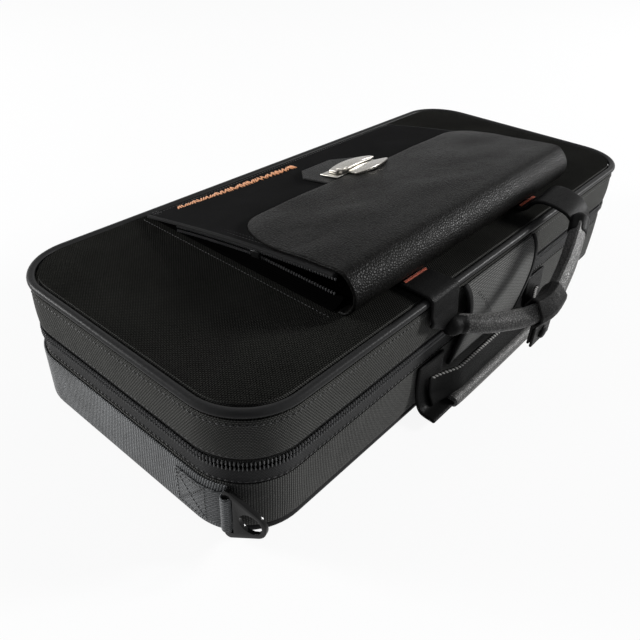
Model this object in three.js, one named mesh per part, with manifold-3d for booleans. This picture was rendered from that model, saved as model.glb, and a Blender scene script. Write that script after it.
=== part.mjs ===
// A soft-sided case for an english horn: two padded shells joined by a zip and a fabric hinge, a
// document pocket with a leather flap and a nickel lock on the lid, two rolled leather handles, and
// webbing with two triangular strap rings round the base. Millimetres, +Z up, +X along the case,
// the handles towards -Y, the hinge towards +Y. The origin is the middle of the resting face.
import * as THREE from 'three';
import { mergeVertices } from 'three/addons/utils/BufferGeometryUtils.js';
import Module from 'manifold-3d';

const wasm = await Module();
wasm.setup();

// Case body
const caseLength = 500;
const caseWidth = 220;
const caseHeight = 95;
const cornerRadius = 40;
const wallThickness = 9.2;
const floorThickness = 6;
const roofThickness = 6;
const partingHeight = 55;
const partingGap = 0.6;
const seamHeight = 41;
const seatGap = 0.3;
const overrun = 5;
const cornerSteps = 8;

// Edge piping
const lidPipingRadius = 3.3;
const lidPipingStep = 4.9;
const basePipingRadius = 2.5;
const basePipingStep = 5.3;
const pipingSides = 8;

// Main zip
const tapeStep = 2;
const tapeThickness = 1.2;
const tapeProud = -0.4;
const rimStep = 5.2;
const rimStepDepth = 4.8;
const coilRadius = 1.25;
const coilGap = 1.2;
const coilOffset = -0.2;
const hingeHalfLength = 175;
const sliderLength = 11;
const sliderWidth = 9;
const sliderPlate = 1.2;
const sliderParking = 8;
const bailLength = 6;
const bailWidth = 2;
const bailBar = 1;
const bailHeight = 2.2;
const pullLength = 26;
const pullWidth = 6;
const pullThickness = 1.3;
const pullEyeLength = 3.8;
const pullEyeWidth = 3.4;
const pullEyeBar = 1.4;

// Fitted lining
const liningHeight = 50;
const padHeight = 58.5;
const jointRadius = 27;
const bellRadius = 32;
const upperJointLength = 330;
const lowerJointLength = 295;
const bellLength = 112;
const recessMargin = 14;
const backRowY = 56;
const frontRowY = -54;
const bocalLength = 92;
const bocalWidth = 15;
const bocalDepth = 22;
const bocalSpacing = 22;
const wellLength = 130;
const wellWidth = 62;
const wellDepth = 34;
const wellRadius = 10;
const scoopRadius = 15;
const scoopDepth = 24;

// Document pocket on the lid
const pocketHalfLength = 147;
const pocketBackY = 100;
const pocketFrontY = -77;
const pocketRise = 25;
const panelThickness = 2;
const panelCrownShare = 0.4;
const gussetThickness = 1.6;
const gussetInset = 1.2;
const pocketZipStartY = 66;
const pocketZipOpenY = -14;
const pocketZipGap = 1.1;
const pocketCoil = 2;
const pocketCoilWidth = 2.6;
const pocketSliderLength = 7;
const pocketSliderPlate = 1;
const pocketSliderNeck = 0.4;
const pocketSliderTravel = 44;

// Leather flap. The roll's centre line is given in shares of its reach and of its rise.
const leather = 2.4;
const flapHalfLength = 145;
const flapHingeY = -75;
const flapEdgeY = 20.5;
const flapNearCorner = [33, 58];
const flapFarCorner = [20, 30];
const flapLift = 0.4;
const rollReach = 15.6;
const rollShares = [
	[0.35, 0], [0.61, 0.03], [0.85, 0.16], [1, 0.35], [1, 0.57], [0.8, 0.79], [0.4, 0.98], [0.19, 1], [0.02, 1],
];

// Lock
const patchNearX = -34;
const patchFarX = 31;
const patchDepth = 41;
const patchChamfer = 15;
const patchThickness = 1.6;
const lockNearX = -23.5;
const lockFarX = 28;
const lockBaseThickness = 1;
const housingNearX = -19;
const housingDepth = 13;
const housingHeight = 5;
const housingEndRadius = 5;
const releaseNearX = -11;
const releaseLength = 34;
const releaseDepth = 3.6;
const releaseHeight = 5.6;
const releaseHeel = 3;
const releaseHeelLength = 10;
const springWire = 0.45;
const springRadius = 1;
const springTurns = 7;
const springLength = 13;
const channelHeight = 3.2;
const haspNearX = -14;
const haspLength = 46;
const haspDepth = 11.5;
const haspThickness = 2.2;
const haspSkew = 6;
const haspLugLength = 20;
const haspLugDepth = 1;
const haspClearance = 0.9;
const haspSeat = 0.9;

// Handles. Each tab's line is a table of [outwards, up, tilt share] from the lid's long top edge, or
// for the lower handle from the foot of the same side. The tilt shares twist the hinge end of a tab
// into the hinge line, which is lower at the left tab than at the right one; shares below 0 slant
// the left tab's foot.
const tabInnerX = 64;
const tabWidth = 31;
const tabThickness = 2.6;
const leftRoot = [[-21, 1.6, 0], [-4, 1.6, 0], [0.4, 1.5, 0.2], [3, 0, 0.5], [3.8, -3.3, 1]];
const leftDrop = [[3.8, -4, 1], [4.4, -10, 0.6], [6, -18, -1.5], [5, -26, -4.9]];
const rightRoot = [[-21, 1.6, 0], [-16.4, 1.6, 0], [-13.5, 4.2, 0.2], [-9.5, 10, 0.7], [-4, 13.7, 1], [3.5, 14, 1]];
const rightDrop = [[4.2, 14, 1], [12, 12.4, 0.8], [19, 9.2, 0.4], [23.5, 4, 0], [25, -3, 0], [24.5, -8, 0]];
const lowerRoot = [[1.9, 40.4, 0], [1.9, 32.3, 0]];
const lowerDrop = [[1.9, 31.7, 0], [3.6, 15, 0], [8, 6.5, 0], [18.6, 4.6, 0]];
const gripPath = [
	[-69.5, 7.4, -28], [-64.8, 8.6, -28.2], [-52.5, 19, -30.4], [-36.3, 29.2, -31.4], [-22.1, 36.9, -31.4],
	[-5.5, 42.3, -29], [7.5, 42, -24.7], [20.4, 40.1, -19.5], [35.7, 37.2, -12.6], [59.3, 30.7, -0.8], [70, 27, 4.5],
];
const gripRadius = 6.5;
const gripEndRadius = 5.6;
const gripSides = 12;
const gripSeam = 3.4;
const seamShare = 0.9;
const swellShare = 0.35;
const lowerGripOut = 17.6;
const lowerGripUp = 5.6;
const lowerGripRadius = 5.2;
const lowerGripEndRadius = 4.4;
const flangeThickness = 3;
const flangeFoot = [16.6, 8];
const flangeTip = [12.6, 27.5];
const wrapHalfLength = 14;
const wrapGap = 0.9;
const wrapHem = 3;
const wrapLeather = 2;
const wrapPlaceShare = 0.485;
const wrapTailLength = 16;
const wrapInnerTailLength = 17;
const snapRadius = 5;
const snapTopRadius = 3.6;
const snapHeight = 1.8;
const tackLength = 24;
const tackWidth = 2.4;
const tackHeight = 0.8;

// Cover panel over the zip between the handle tabs
const coverHalfLength = 51;
const coverTop = 87.5;
const coverBottom = 21;
const coverThickness = 1.6;
const coverBulgeNear = 8;
const coverBulgeFar = 6;
const coverShoulderShare = 0.62;

// Webbing and strap rings
const webbingWidth = 37;
const webbingThickness = 1.4;
const webbingBottom = 3.4;
const webbingSeat = 0.5;
const loopWidth = 27;
const ringAngle = 30;
const ringBar = 2.8;
const ringThickness = 2.6;
const ringHeight = 38;
const ringTip = 15.5;
const ringTipRadius = 10;
const ringHoleRadius = 7.2;
const ringSlotGap = 0.9;
const ringCornerRadius = 3;
const nearRingLean = 15;
const farRingLean = 186;

function finish(colour, roughness, metalness) {
	return new THREE.MeshStandardMaterial({ color: colour, roughness, metalness });
}

const nylon = finish(0x1b1b1a, 0.85, 0);
const smoothNylon = finish(0x1f1f1e, 0.7, 0);
const pipingVinyl = finish(0x161616, 0.55, 0);
const webbingNylon = finish(0x38393a, 0.5, 0);
const leatherBlack = finish(0x1a1816, 0.45, 0);
const zipCoil = finish(0x101010, 0.4, 0);
const zipMetal = finish(0x2b2b2d, 0.35, 0.8);
const nickel = finish(0xb9b6ae, 0.28, 1);
const ringPlastic = finish(0x121214, 0.2, 0);
const plush = finish(0x23211f, 0.95, 0);
const foam = finish(0x2d2d2e, 0.95, 0);
const orangeThread = finish(0xc4512a, 0.6, 0);

const model = new THREE.Group();

function add(parent, name, geometry, material) {
	const mesh = new THREE.Mesh(geometry, material);
	mesh.name = name;
	parent.add(mesh);
	return mesh;
}

// Closed skins from rings of points, and booleans

function newell(ring) {
	const normal = new THREE.Vector3();
	ring.forEach((point, i) => normal.add(point.clone().cross(ring[(i + 1) % ring.length])));
	return normal.normalize();
}

function capFaces(ring, offset, alongNormal) {
	const normal = newell(ring);
	const side = Math.abs(normal.z) < 0.9 ? new THREE.Vector3(0, 0, 1) : new THREE.Vector3(1, 0, 0);
	const u = side.clone().cross(normal).normalize();
	const v = normal.clone().cross(u);
	const flat = ring.map((point) => new THREE.Vector2(point.dot(u), point.dot(v)));
	return THREE.ShapeUtils.triangulateShape(flat, []).map(([a, b, c]) => {
		const area = flat[b].clone().sub(flat[a]).cross(flat[c].clone().sub(flat[a]));
		const agrees = area > 0 === alongNormal;
		return agrees ? [offset + a, offset + b, offset + c] : [offset + a, offset + c, offset + b];
	});
}

function signedVolume(positions, faces) {
	const [a, b, c] = [new THREE.Vector3(), new THREE.Vector3(), new THREE.Vector3()];
	return faces.reduce((sum, [i, j, k]) => {
		a.fromArray(positions, i * 3);
		b.fromArray(positions, j * 3);
		c.fromArray(positions, k * 3);
		return sum + a.dot(b.cross(c));
	}, 0);
}

function loft(rings, closed = false) {
	const count = rings[0].length;
	const positions = rings.flat().flatMap((point) => point.toArray());
	const faces = [];
	const spans = closed ? rings.length : rings.length - 1;
	for (let j = 0; j < spans; j += 1) {
		const here = j * count;
		const next = ((j + 1) % rings.length) * count;
		for (let i = 0; i < count; i += 1) {
			const k = (i + 1) % count;
			faces.push([here + i, here + k, next + k], [here + i, next + k, next + i]);
		}
	}
	if (!closed) {
		faces.push(...capFaces(rings[0], 0, false));
		faces.push(...capFaces(rings.at(-1), (rings.length - 1) * count, true));
	}
	if (signedVolume(positions, faces) < 0) {
		faces.forEach((face) => face.reverse());
	}
	const geometry = new THREE.BufferGeometry();
	geometry.setAttribute('position', new THREE.Float32BufferAttribute(positions, 3));
	geometry.setIndex(faces.flat());
	return geometry;
}

function toManifold(geometry) {
	const bare = geometry.clone();
	bare.deleteAttribute('normal');
	bare.deleteAttribute('uv');
	const merged = mergeVertices(bare);
	return new wasm.Manifold(new wasm.Mesh({
		numProp: 3,
		vertProperties: new Float32Array(merged.attributes.position.array),
		triVerts: new Uint32Array(merged.index.array),
	}));
}

function fromManifold(solid) {
	const mesh = solid.getMesh();
	const geometry = new THREE.BufferGeometry();
	geometry.setAttribute('position', new THREE.BufferAttribute(mesh.vertProperties, 3));
	geometry.setIndex(new THREE.BufferAttribute(mesh.triVerts, 1));
	return geometry;
}

function cut(geometry, ...tools) {
	return fromManifold(tools.reduce((solid, tool) => solid.subtract(toManifold(tool)), toManifold(geometry)));
}

function fuse(geometry, ...others) {
	return fromManifold(others.reduce((solid, other) => solid.add(toManifold(other)), toManifold(geometry)));
}

function box(x0, x1, y0, y1, z0, z1) {
	const geometry = new THREE.BoxGeometry(x1 - x0, y1 - y0, z1 - z0);
	return geometry.translate((x0 + x1) / 2, (y0 + y1) / 2, (z0 + z1) / 2);
}

function extrude(shape, depth, curveSegments = 8) {
	return new THREE.ExtrudeGeometry(shape, { depth, bevelEnabled: false, curveSegments });
}

function roundedShape(length, width, radius) {
	const shape = new THREE.Shape();
	const [cx, cy] = [length / 2 - radius, width / 2 - radius];
	shape.absarc(cx, cy, radius, 0, Math.PI / 2);
	shape.absarc(-cx, cy, radius, Math.PI / 2, Math.PI);
	shape.absarc(-cx, -cy, radius, Math.PI, Math.PI * 1.5);
	shape.absarc(cx, -cy, radius, Math.PI * 1.5, Math.PI * 2);
	return shape;
}

// Rises from 0 to 1 and falls back to 0 as the share goes from 0 to 1
function hump(share) {
	return Math.max(0, Math.sin(Math.PI * share));
}

// A strip of even thickness about a centre line of [a, b] pairs, as one closed outline
function thicken(line, thickness) {
	const normals = line.map((point, i) => {
		const before = line[Math.max(i - 1, 0)];
		const after = line[Math.min(i + 1, line.length - 1)];
		const along = new THREE.Vector2(after[0] - before[0], after[1] - before[1]).normalize();
		return [-along.y * thickness / 2, along.x * thickness / 2];
	});
	const left = line.map(([a, b], i) => [a + normals[i][0], b + normals[i][1]]);
	const right = line.map(([a, b], i) => [a - normals[i][0], b - normals[i][1]]);
	return [...left, ...right.reverse()];
}

// A YZ outline as a ring at one X
function ringAtX(x, outline) {
	return outline.map(([y, z]) => new THREE.Vector3(x, y, z));
}

// The case's plan outline, and sections carried round it

function caseOutline(inset, z) {
	const radius = cornerRadius - inset;
	const points = [];
	[[1, 1], [-1, 1], [-1, -1], [1, -1]].forEach(([sx, sy], quarter) => {
		for (let i = 0; i <= cornerSteps; i += 1) {
			const angle = (quarter + i / cornerSteps) * Math.PI / 2;
			points.push(new THREE.Vector3(
				sx * (caseLength / 2 - cornerRadius) + radius * Math.cos(angle),
				sy * (caseWidth / 2 - cornerRadius) + radius * Math.sin(angle),
				z,
			));
		}
	});
	return points;
}

function stack(levels) {
	return loft(levels.map(([inset, z]) => caseOutline(inset, z)));
}

function cornerStations(quarter, fromDegrees, toDegrees) {
	const [sx, sy] = [[1, 1], [-1, 1], [-1, -1], [1, -1]][quarter];
	const steps = Math.max(2, Math.round(cornerSteps * Math.abs(toDegrees - fromDegrees) / 90));
	return Array.from({ length: steps + 1 }, (_, i) => {
		const angle = THREE.MathUtils.degToRad(fromDegrees + (toDegrees - fromDegrees) * i / steps);
		const normal = new THREE.Vector2(Math.cos(angle), Math.sin(angle));
		return {
			x: sx * (caseLength / 2 - cornerRadius) + cornerRadius * normal.x,
			y: sy * (caseWidth / 2 - cornerRadius) + cornerRadius * normal.y,
			normal,
		};
	});
}

const quarterStart = [0, 90, 180, 270];
const allRound = quarterStart.flatMap((start, quarter) => cornerStations(quarter, start, start + 90));

function backStation(x) {
	return { x, y: caseWidth / 2, normal: new THREE.Vector2(0, 1) };
}

// The zip runs round three sides and stops on the hinge side
const zipRun = [
	backStation(-hingeHalfLength),
	...[1, 2, 3, 0].flatMap((q) => cornerStations(q, quarterStart[q], quarterStart[q] + 90)),
	backStation(hingeHalfLength),
];
const hingeRun = [backStation(hingeHalfLength - overrun), backStation(overrun - hingeHalfLength)];

// A section of [outward, z] pairs carried along stations of the outline
function carry(section, stations, closed = false) {
	return loft(stations.map(({ x, y, normal }) => section.map(([outward, z]) => (
		new THREE.Vector3(x + normal.x * outward, y + normal.y * outward, z)
	))), closed);
}

function roundSection(outward, z, radius, sides) {
	return Array.from({ length: sides }, (_, i) => {
		const angle = (i + 0.5) / sides * Math.PI * 2;
		return [outward + radius * Math.cos(angle), z + radius * Math.sin(angle)];
	});
}

function flatSection(outward, thickness, z0, z1) {
	return [[outward, z0], [outward + thickness, z0], [outward + thickness, z1], [outward, z1]];
}

// Shells

const baseRim = partingHeight - partingGap / 2;
const lidRim = partingHeight + partingGap / 2;
const basePipingTop = 2 * basePipingRadius + 3 * seatGap;
const lidPipingBottom = caseHeight - 2 * lidPipingRadius - seatGap;
const lidRoof = caseHeight - roofThickness;

const baseOutside = stack([
	[basePipingStep, 0],
	[basePipingStep, basePipingTop],
	[0, basePipingTop],
	[0, seamHeight],
	[tapeStep, seamHeight],
	[tapeStep, partingHeight - rimStepDepth],
	[rimStep, partingHeight - rimStepDepth],
	[rimStep, baseRim],
]);
const baseInside = stack([[wallThickness, floorThickness], [wallThickness, baseRim + overrun]]);
add(model, 'base_shell', cut(baseOutside, baseInside), nylon);

const lidOutside = stack([
	[rimStep, lidRim],
	[rimStep, partingHeight + rimStepDepth],
	[0, partingHeight + rimStepDepth],
	[0, lidPipingBottom],
	[lidPipingStep, lidPipingBottom],
	[lidPipingStep, caseHeight],
]);
const lidInside = stack([[wallThickness, lidRim - overrun], [wallThickness, lidRoof]]);
add(model, 'lid_shell', cut(lidOutside, lidInside), nylon);

function pipingOffset(step, radius) {
	return seatGap + radius - step;
}

add(model, 'base_piping', carry(roundSection(
	pipingOffset(basePipingStep, basePipingRadius),
	basePipingTop - seatGap - basePipingRadius,
	basePipingRadius,
	pipingSides,
), allRound, true), pipingVinyl);
add(model, 'lid_piping', carry(roundSection(
	pipingOffset(lidPipingStep, lidPipingRadius),
	lidPipingBottom + seatGap + lidPipingRadius,
	lidPipingRadius,
	pipingSides,
), allRound, true), pipingVinyl);

// Main zip: one tape and one coil on each half, and the fabric hinge on the back

const baseCoilZ = partingHeight - coilGap / 2 - coilRadius;
const lidCoilZ = partingHeight + coilGap / 2 + coilRadius;
const tapeOutward = tapeProud - tapeThickness;

add(model, 'zip_tape_base', carry(
	flatSection(tapeOutward, tapeThickness, seamHeight + seatGap, baseCoilZ - coilRadius - seatGap),
	zipRun,
), smoothNylon);
add(model, 'zip_tape_lid', carry(
	flatSection(tapeOutward, tapeThickness, lidCoilZ + coilRadius + seatGap, partingHeight + rimStepDepth - seatGap),
	zipRun,
), smoothNylon);
add(model, 'zip_coil_base', carry(roundSection(coilOffset, baseCoilZ, coilRadius, 6), zipRun), zipCoil);
add(model, 'zip_coil_lid', carry(roundSection(coilOffset, lidCoilZ, coilRadius, 6), zipRun), zipCoil);
add(model, 'hinge_fabric_base', carry(
	flatSection(tapeOutward, tapeThickness, seamHeight + seatGap, baseRim - seatGap),
	hingeRun,
), smoothNylon);
add(model, 'hinge_fabric_lid', carry(
	flatSection(tapeOutward, tapeThickness, lidRim + seatGap, partingHeight + rimStepDepth - seatGap),
	hingeRun,
), smoothNylon);

// Zip sliders stand at the far end, drawn in X outward, Y along the zip, Z up

const sliderNeck = coilGap - 2 * seatGap;
const sliderFront = coilOffset + coilRadius + seatGap;
const sliderBack = tapeOutward - seatGap;
const bailBase = sliderFront + sliderPlate;
const pivotOutward = bailBase + bailHeight / 2;

function plateOutline(length, width) {
	const shape = new THREE.Shape();
	shape.moveTo(-length / 2, -width / 2);
	shape.lineTo(length / 4, -width / 2);
	shape.quadraticCurveTo(length / 2, -width / 3, length / 2, 0);
	shape.quadraticCurveTo(length / 2, width / 3, length / 4, width / 2);
	shape.lineTo(-length / 2, width / 2);
	shape.closePath();
	return shape;
}

function outwardPlate(shape, outward, thickness) {
	const geometry = extrude(shape, thickness, 3);
	geometry.rotateY(Math.PI / 2).rotateX(Math.PI / 2);
	return geometry.translate(outward, 0, 0);
}

function sliderBody() {
	const shape = plateOutline(sliderLength, sliderWidth);
	const front = outwardPlate(shape, sliderFront, sliderPlate);
	const back = outwardPlate(shape, sliderBack - sliderPlate, sliderPlate);
	const neck = box(sliderBack - sliderPlate / 2, sliderFront + sliderPlate / 2,
		sliderLength / 8, sliderLength * 3 / 8, -sliderNeck / 2, sliderNeck / 2);
	const bail = box(bailBase - sliderPlate / 2, bailBase + bailHeight + bailBar,
		-bailLength / 2, bailLength / 2, -bailWidth / 2, bailWidth / 2);
	const under = box(bailBase, bailBase + bailHeight,
		bailBar - bailLength / 2, bailLength / 2 - bailBar, -bailWidth, bailWidth);
	return fuse(front, back, neck, cut(bail, under));
}

function pullTab() {
	const reach = pullLength - pullEyeBar / 2;
	const shape = new THREE.Shape();
	shape.moveTo(-pullEyeBar / 2, -pullWidth / 2);
	shape.lineTo(reach - pullWidth / 2, -pullWidth / 2);
	shape.absarc(reach - pullWidth / 2, 0, pullWidth / 2, -Math.PI / 2, Math.PI / 2);
	shape.lineTo(-pullEyeBar / 2, pullWidth / 2);
	shape.closePath();
	const eye = new THREE.Path();
	eye.moveTo(pullEyeBar / 2, -pullEyeWidth / 2);
	eye.lineTo(pullEyeBar / 2, pullEyeWidth / 2);
	eye.lineTo(pullEyeBar / 2 + pullEyeLength, pullEyeWidth / 2);
	eye.lineTo(pullEyeBar / 2 + pullEyeLength, -pullEyeWidth / 2);
	eye.closePath();
	shape.holes.push(eye);
	return outwardPlate(shape, -pullThickness / 2, pullThickness);
}

[['a', -1], ['b', 1]].forEach(([letter, side]) => {
	const slider = new THREE.Group();
	slider.position.set(caseLength / 2, side * sliderParking, partingHeight);
	const body = add(slider, `zip_slider_${letter}`, sliderBody(), zipMetal);
	body.rotation.x = side > 0 ? Math.PI : 0;
	const pull = add(slider, `zip_pull_${letter}`, pullTab(), zipMetal);
	pull.position.x = pivotOutward;
	pull.rotation.x = side > 0 ? 0 : Math.PI;
	model.add(slider);
});

// Fitted lining: a tray in the base and a pad in the lid, both hollowed for the instrument

const liningInset = wallThickness + seatGap;
const rowStart = -caseLength / 2 + liningInset + recessMargin;
const rowEnd = caseLength / 2 - liningInset - recessMargin;

function trough(x0, x1, y, radius, upwards) {
	const turn = upwards ? -1 : 1;
	const steps = 8;
	const section = (share) => {
		const points = Array.from({ length: steps + 1 }, (_, i) => {
			const angle = Math.PI * (1 + i / steps);
			return [y + radius * share * Math.cos(angle), liningHeight + turn * radius * share * Math.sin(angle)];
		});
		const mouth = liningHeight + turn * overrun * 2;
		points.push([y + radius * share, mouth], [y - radius * share, mouth]);
		return points;
	};
	const endShare = 0.82;
	const endLength = radius / 4;
	return loft([
		ringAtX(x0, section(endShare)),
		ringAtX(x0 + endLength, section(1)),
		ringAtX(x1 - endLength, section(1)),
		ringAtX(x1, section(endShare)),
	]);
}

// The bell's bulb, as a solid of revolution about its own axis
function bellSpace(x0, y) {
	const lengthShares = [0, 0.12, 0.35, 0.6, 0.8, 0.93, 1];
	const radiusShares = [0.45, 0.5, 0.66, 0.93, 1, 0.88, 0.62];
	const points = [new THREE.Vector2(0, 0)];
	lengthShares.forEach((share, i) => {
		points.push(new THREE.Vector2(bellRadius * radiusShares[i], bellLength * share));
	});
	points.push(new THREE.Vector2(0, bellLength));
	const geometry = new THREE.LatheGeometry(points, 16);
	geometry.rotateZ(-Math.PI / 2);
	return geometry.translate(x0, y, liningHeight);
}

function downwardPocket(shape, x, y, depth) {
	return extrude(shape, depth + overrun).translate(x, y, liningHeight - depth);
}

const upperJointEnd = rowStart + upperJointLength;
const lowerJointEnd = rowStart + lowerJointLength;
const bellStart = rowEnd - bellLength;
const wellCentreX = rowEnd - wellLength / 2;
const bocalShape = roundedShape(bocalLength, bocalWidth, bocalWidth / 2 - seatGap);
const bocalStart = rowStart + bocalLength / 2 + recessMargin;
const bocalCentres = [bocalStart, bocalStart + bocalLength + bocalSpacing];
const bocalY = (backRowY + frontRowY) / 2;

function scoop(x, y) {
	const geometry = new THREE.CylinderGeometry(scoopRadius, scoopRadius, scoopDepth + overrun, 14);
	geometry.rotateX(Math.PI / 2);
	return geometry.translate(x, y, liningHeight - scoopDepth + (scoopDepth + overrun) / 2);
}

const scoops = [
	scoop(rowStart + upperJointLength / 2, backRowY - jointRadius),
	scoop(rowStart + lowerJointLength / 2, frontRowY + jointRadius),
];
const trayBlock = stack([[liningInset, floorThickness + seatGap], [liningInset, liningHeight]]);
add(model, 'fitted_tray', cut(
	trayBlock,
	trough(rowStart, upperJointEnd, backRowY, jointRadius, false),
	trough(rowStart, lowerJointEnd, frontRowY, jointRadius, false),
	bellSpace(bellStart, backRowY),
	...bocalCentres.map((x) => downwardPocket(bocalShape, x, bocalY, bocalDepth)),
	downwardPocket(roundedShape(wellLength, wellWidth, wellRadius), wellCentreX, frontRowY, wellDepth),
	...scoops,
), plush);

const padBlock = stack([[liningInset, padHeight], [liningInset, lidRoof - seatGap]]);
add(model, 'lid_pad', cut(
	padBlock,
	trough(rowStart, upperJointEnd, backRowY, jointRadius, true),
	trough(rowStart, lowerJointEnd, frontRowY, jointRadius, true),
	bellSpace(bellStart, backRowY),
), foam);

// Document pocket: a wedge whose panel climbs from the back seam to the handle side

const lidTop = caseHeight + seatGap;

function panelUnder(y) {
	const along = (pocketBackY - y) / (pocketBackY - pocketFrontY);
	return lidTop + pocketRise * along * (1 + panelCrownShare * (1 - along));
}

function spread(from, to, steps) {
	return Array.from({ length: steps + 1 }, (_, i) => from + (to - from) * i / steps);
}

function sheetOutline(ys, under, thickness) {
	const lower = ys.map((y) => [y, under(y)]);
	const upper = ys.map((y) => [y, under(y) + thickness]).reverse();
	return [...lower, ...upper];
}

const panelOutline = sheetOutline(spread(pocketBackY, pocketFrontY, 10), panelUnder, panelThickness);
add(model, 'pocket_panel', loft([
	ringAtX(-pocketHalfLength, panelOutline),
	ringAtX(pocketHalfLength, panelOutline),
]), smoothNylon);

// Each end of the pocket has a gusset and an opened zip, whose halves part towards the mouth

const zipDrop = 2 * pocketCoil + pocketZipGap + 2 * seatGap;
const zipOpenHeight = panelUnder(pocketZipOpenY) - zipDrop;

function gussetTop(y) {
	const below = panelUnder(y) - (y > pocketZipStartY ? seatGap : zipDrop);
	return Math.min(below, zipOpenHeight);
}

const gussetYs = [
	...spread(pocketBackY - 3 * pocketCoil, pocketZipStartY + seatGap, 2),
	...spread(pocketZipStartY, pocketFrontY, 8),
];
const zipYs = spread(pocketZipStartY - seatGap, pocketFrontY, 8);

[['near', -1], ['far', 1]].forEach(([where, side]) => {
	const outer = side * (pocketHalfLength - gussetInset);
	const inner = side * (pocketHalfLength - gussetInset - gussetThickness);
	const coilOuter = side * pocketHalfLength;
	const coilInner = side * (pocketHalfLength - pocketCoilWidth);
	const wall = [
		...gussetYs.map((y) => [y, gussetTop(y)]),
		[pocketFrontY, lidTop],
		[pocketBackY - 3 * pocketCoil, lidTop],
	];
	add(model, `pocket_gusset_${where}`, loft([ringAtX(inner, wall), ringAtX(outer, wall)]), nylon);
	const lower = sheetOutline(zipYs, (y) => gussetTop(y) + seatGap, pocketCoil);
	add(model, `pocket_zip_lower_${where}`, loft([ringAtX(coilInner, lower), ringAtX(coilOuter, lower)]), zipCoil);
	const upper = sheetOutline(zipYs, (y) => panelUnder(y) - pocketCoil - seatGap, pocketCoil);
	add(model, `pocket_zip_upper_${where}`, loft([ringAtX(coilInner, upper), ringAtX(coilOuter, upper)]), zipCoil);
});

// The pocket's slider stands where the near zip opens: two plates and the neck between its halves.
// It slides in a straight line, close to the panel's curve over its travel.
const pocketSlope = Math.atan2(
	panelUnder(pocketZipOpenY + pocketSliderTravel) - panelUnder(pocketZipOpenY),
	pocketSliderTravel,
);
const sliderReach = pocketCoilWidth / 2 + seatGap + pocketSliderPlate;
const sliderTall = pocketCoil + pocketZipGap / 2 - seatGap;
const plates = [-1, 1].map((side) => box(
	side * sliderReach - (side > 0 ? pocketSliderPlate : 0),
	side * sliderReach + (side < 0 ? pocketSliderPlate : 0),
	-pocketSliderLength / 2, pocketSliderLength / 2, -sliderTall, sliderTall,
));
const pocketNeck = box(-sliderReach, sliderReach, pocketSliderLength / 8, pocketSliderLength * 3 / 8,
	-pocketSliderNeck / 2, pocketSliderNeck / 2);
const pocketSlider = add(model, 'pocket_slider', fuse(plates[0], plates[1], pocketNeck), zipMetal);
pocketSlider.position.set(
	pocketCoilWidth / 2 - pocketHalfLength,
	pocketZipOpenY,
	panelUnder(pocketZipOpenY) - seatGap - pocketCoil - pocketZipGap / 2,
);
pocketSlider.rotation.x = pocketSlope;

// Leather flap: a roll sewn to the lid in front of the pocket's mouth, and a leaf over the panel

function leafUnder(y) {
	return panelUnder(y) + panelThickness + flapLift;
}

const rollBottom = lidTop + leather / 2;
const rollTop = leafUnder(flapHingeY) + leather / 2;
const rollOutline = thicken(rollShares.map(([out, up]) => [
	flapHingeY - rollReach * out,
	THREE.MathUtils.lerp(rollBottom, rollTop, up),
]), leather);
add(model, 'flap_roll', loft([
	ringAtX(-flapHalfLength, rollOutline),
	ringAtX(flapHalfLength, rollOutline),
]), leatherBlack);

function leafRing(x, edgeY) {
	return ringAtX(x, sheetOutline(spread(flapHingeY + seatGap, edgeY, 9), leafUnder, leather));
}

function leafCorner(side, [across, along]) {
	return spread(0, Math.PI / 2, 6).map((angle) => leafRing(
		side * (flapHalfLength - across * (1 - Math.sin(angle))),
		flapEdgeY - along * (1 - Math.cos(angle)),
	));
}

add(model, 'flap_leaf', loft([
	...leafCorner(-1, flapNearCorner).reverse(),
	...leafCorner(1, flapFarCorner),
]), leatherBlack);

// Lock: the body sits on a leather patch on the panel, the hasp plate on the leaf's edge. Both are
// drawn flat, with their front edge at Y = 0 and their foot at Z = 0, and laid on the panel's slope.

const patchFrontY = flapEdgeY + haspClearance + haspLugDepth + seatGap;
const slopeRun = 4;
const lockY = patchFrontY + housingDepth;
const slope = Math.atan2(panelUnder(lockY + slopeRun) - panelUnder(lockY - slopeRun), 2 * slopeRun);

function onPanel(y, height) {
	const group = new THREE.Group();
	group.position.set(0, y, panelUnder(y) + panelThickness + height);
	group.rotation.x = slope;
	model.add(group);
	return group;
}

const chamferY = patchFrontY + patchDepth - patchChamfer;
const patchYs = [...spread(patchFrontY, chamferY, 3), patchFrontY + patchDepth];
add(model, 'lock_patch', loft(patchYs.map((y) => {
	const under = panelUnder(y) + panelThickness + seatGap;
	const chamfer = Math.max(0, y - chamferY);
	const [near, far] = [patchNearX + chamfer, patchFarX - chamfer];
	return [[near, 0], [far, 0], [far, patchThickness], [near, patchThickness]].map(([x, up]) => (
		new THREE.Vector3(x, y, under + up)
	));
})), leatherBlack);

const lock = onPanel(patchFrontY, patchThickness + 3 * seatGap);
const housingFront = seatGap + releaseDepth + seatGap;
const housingBack = housingFront + housingDepth;
const housingFoot = lockBaseThickness + seatGap;
const housingTop = housingFoot + housingHeight;

// A plan from the near end, rounded at its far rear corner
function lockPlan(nearX, frontY) {
	const shape = new THREE.Shape();
	const corner = [lockFarX - housingEndRadius, housingBack - housingEndRadius];
	shape.moveTo(nearX, frontY);
	shape.lineTo(lockFarX, frontY);
	shape.lineTo(lockFarX, corner[1]);
	shape.absarc(corner[0], corner[1], housingEndRadius, 0, Math.PI / 2);
	shape.lineTo(nearX, housingBack);
	shape.closePath();
	return shape;
}
add(lock, 'lock_base', extrude(lockPlan(lockNearX, 0), lockBaseThickness, 5), nickel);

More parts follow.
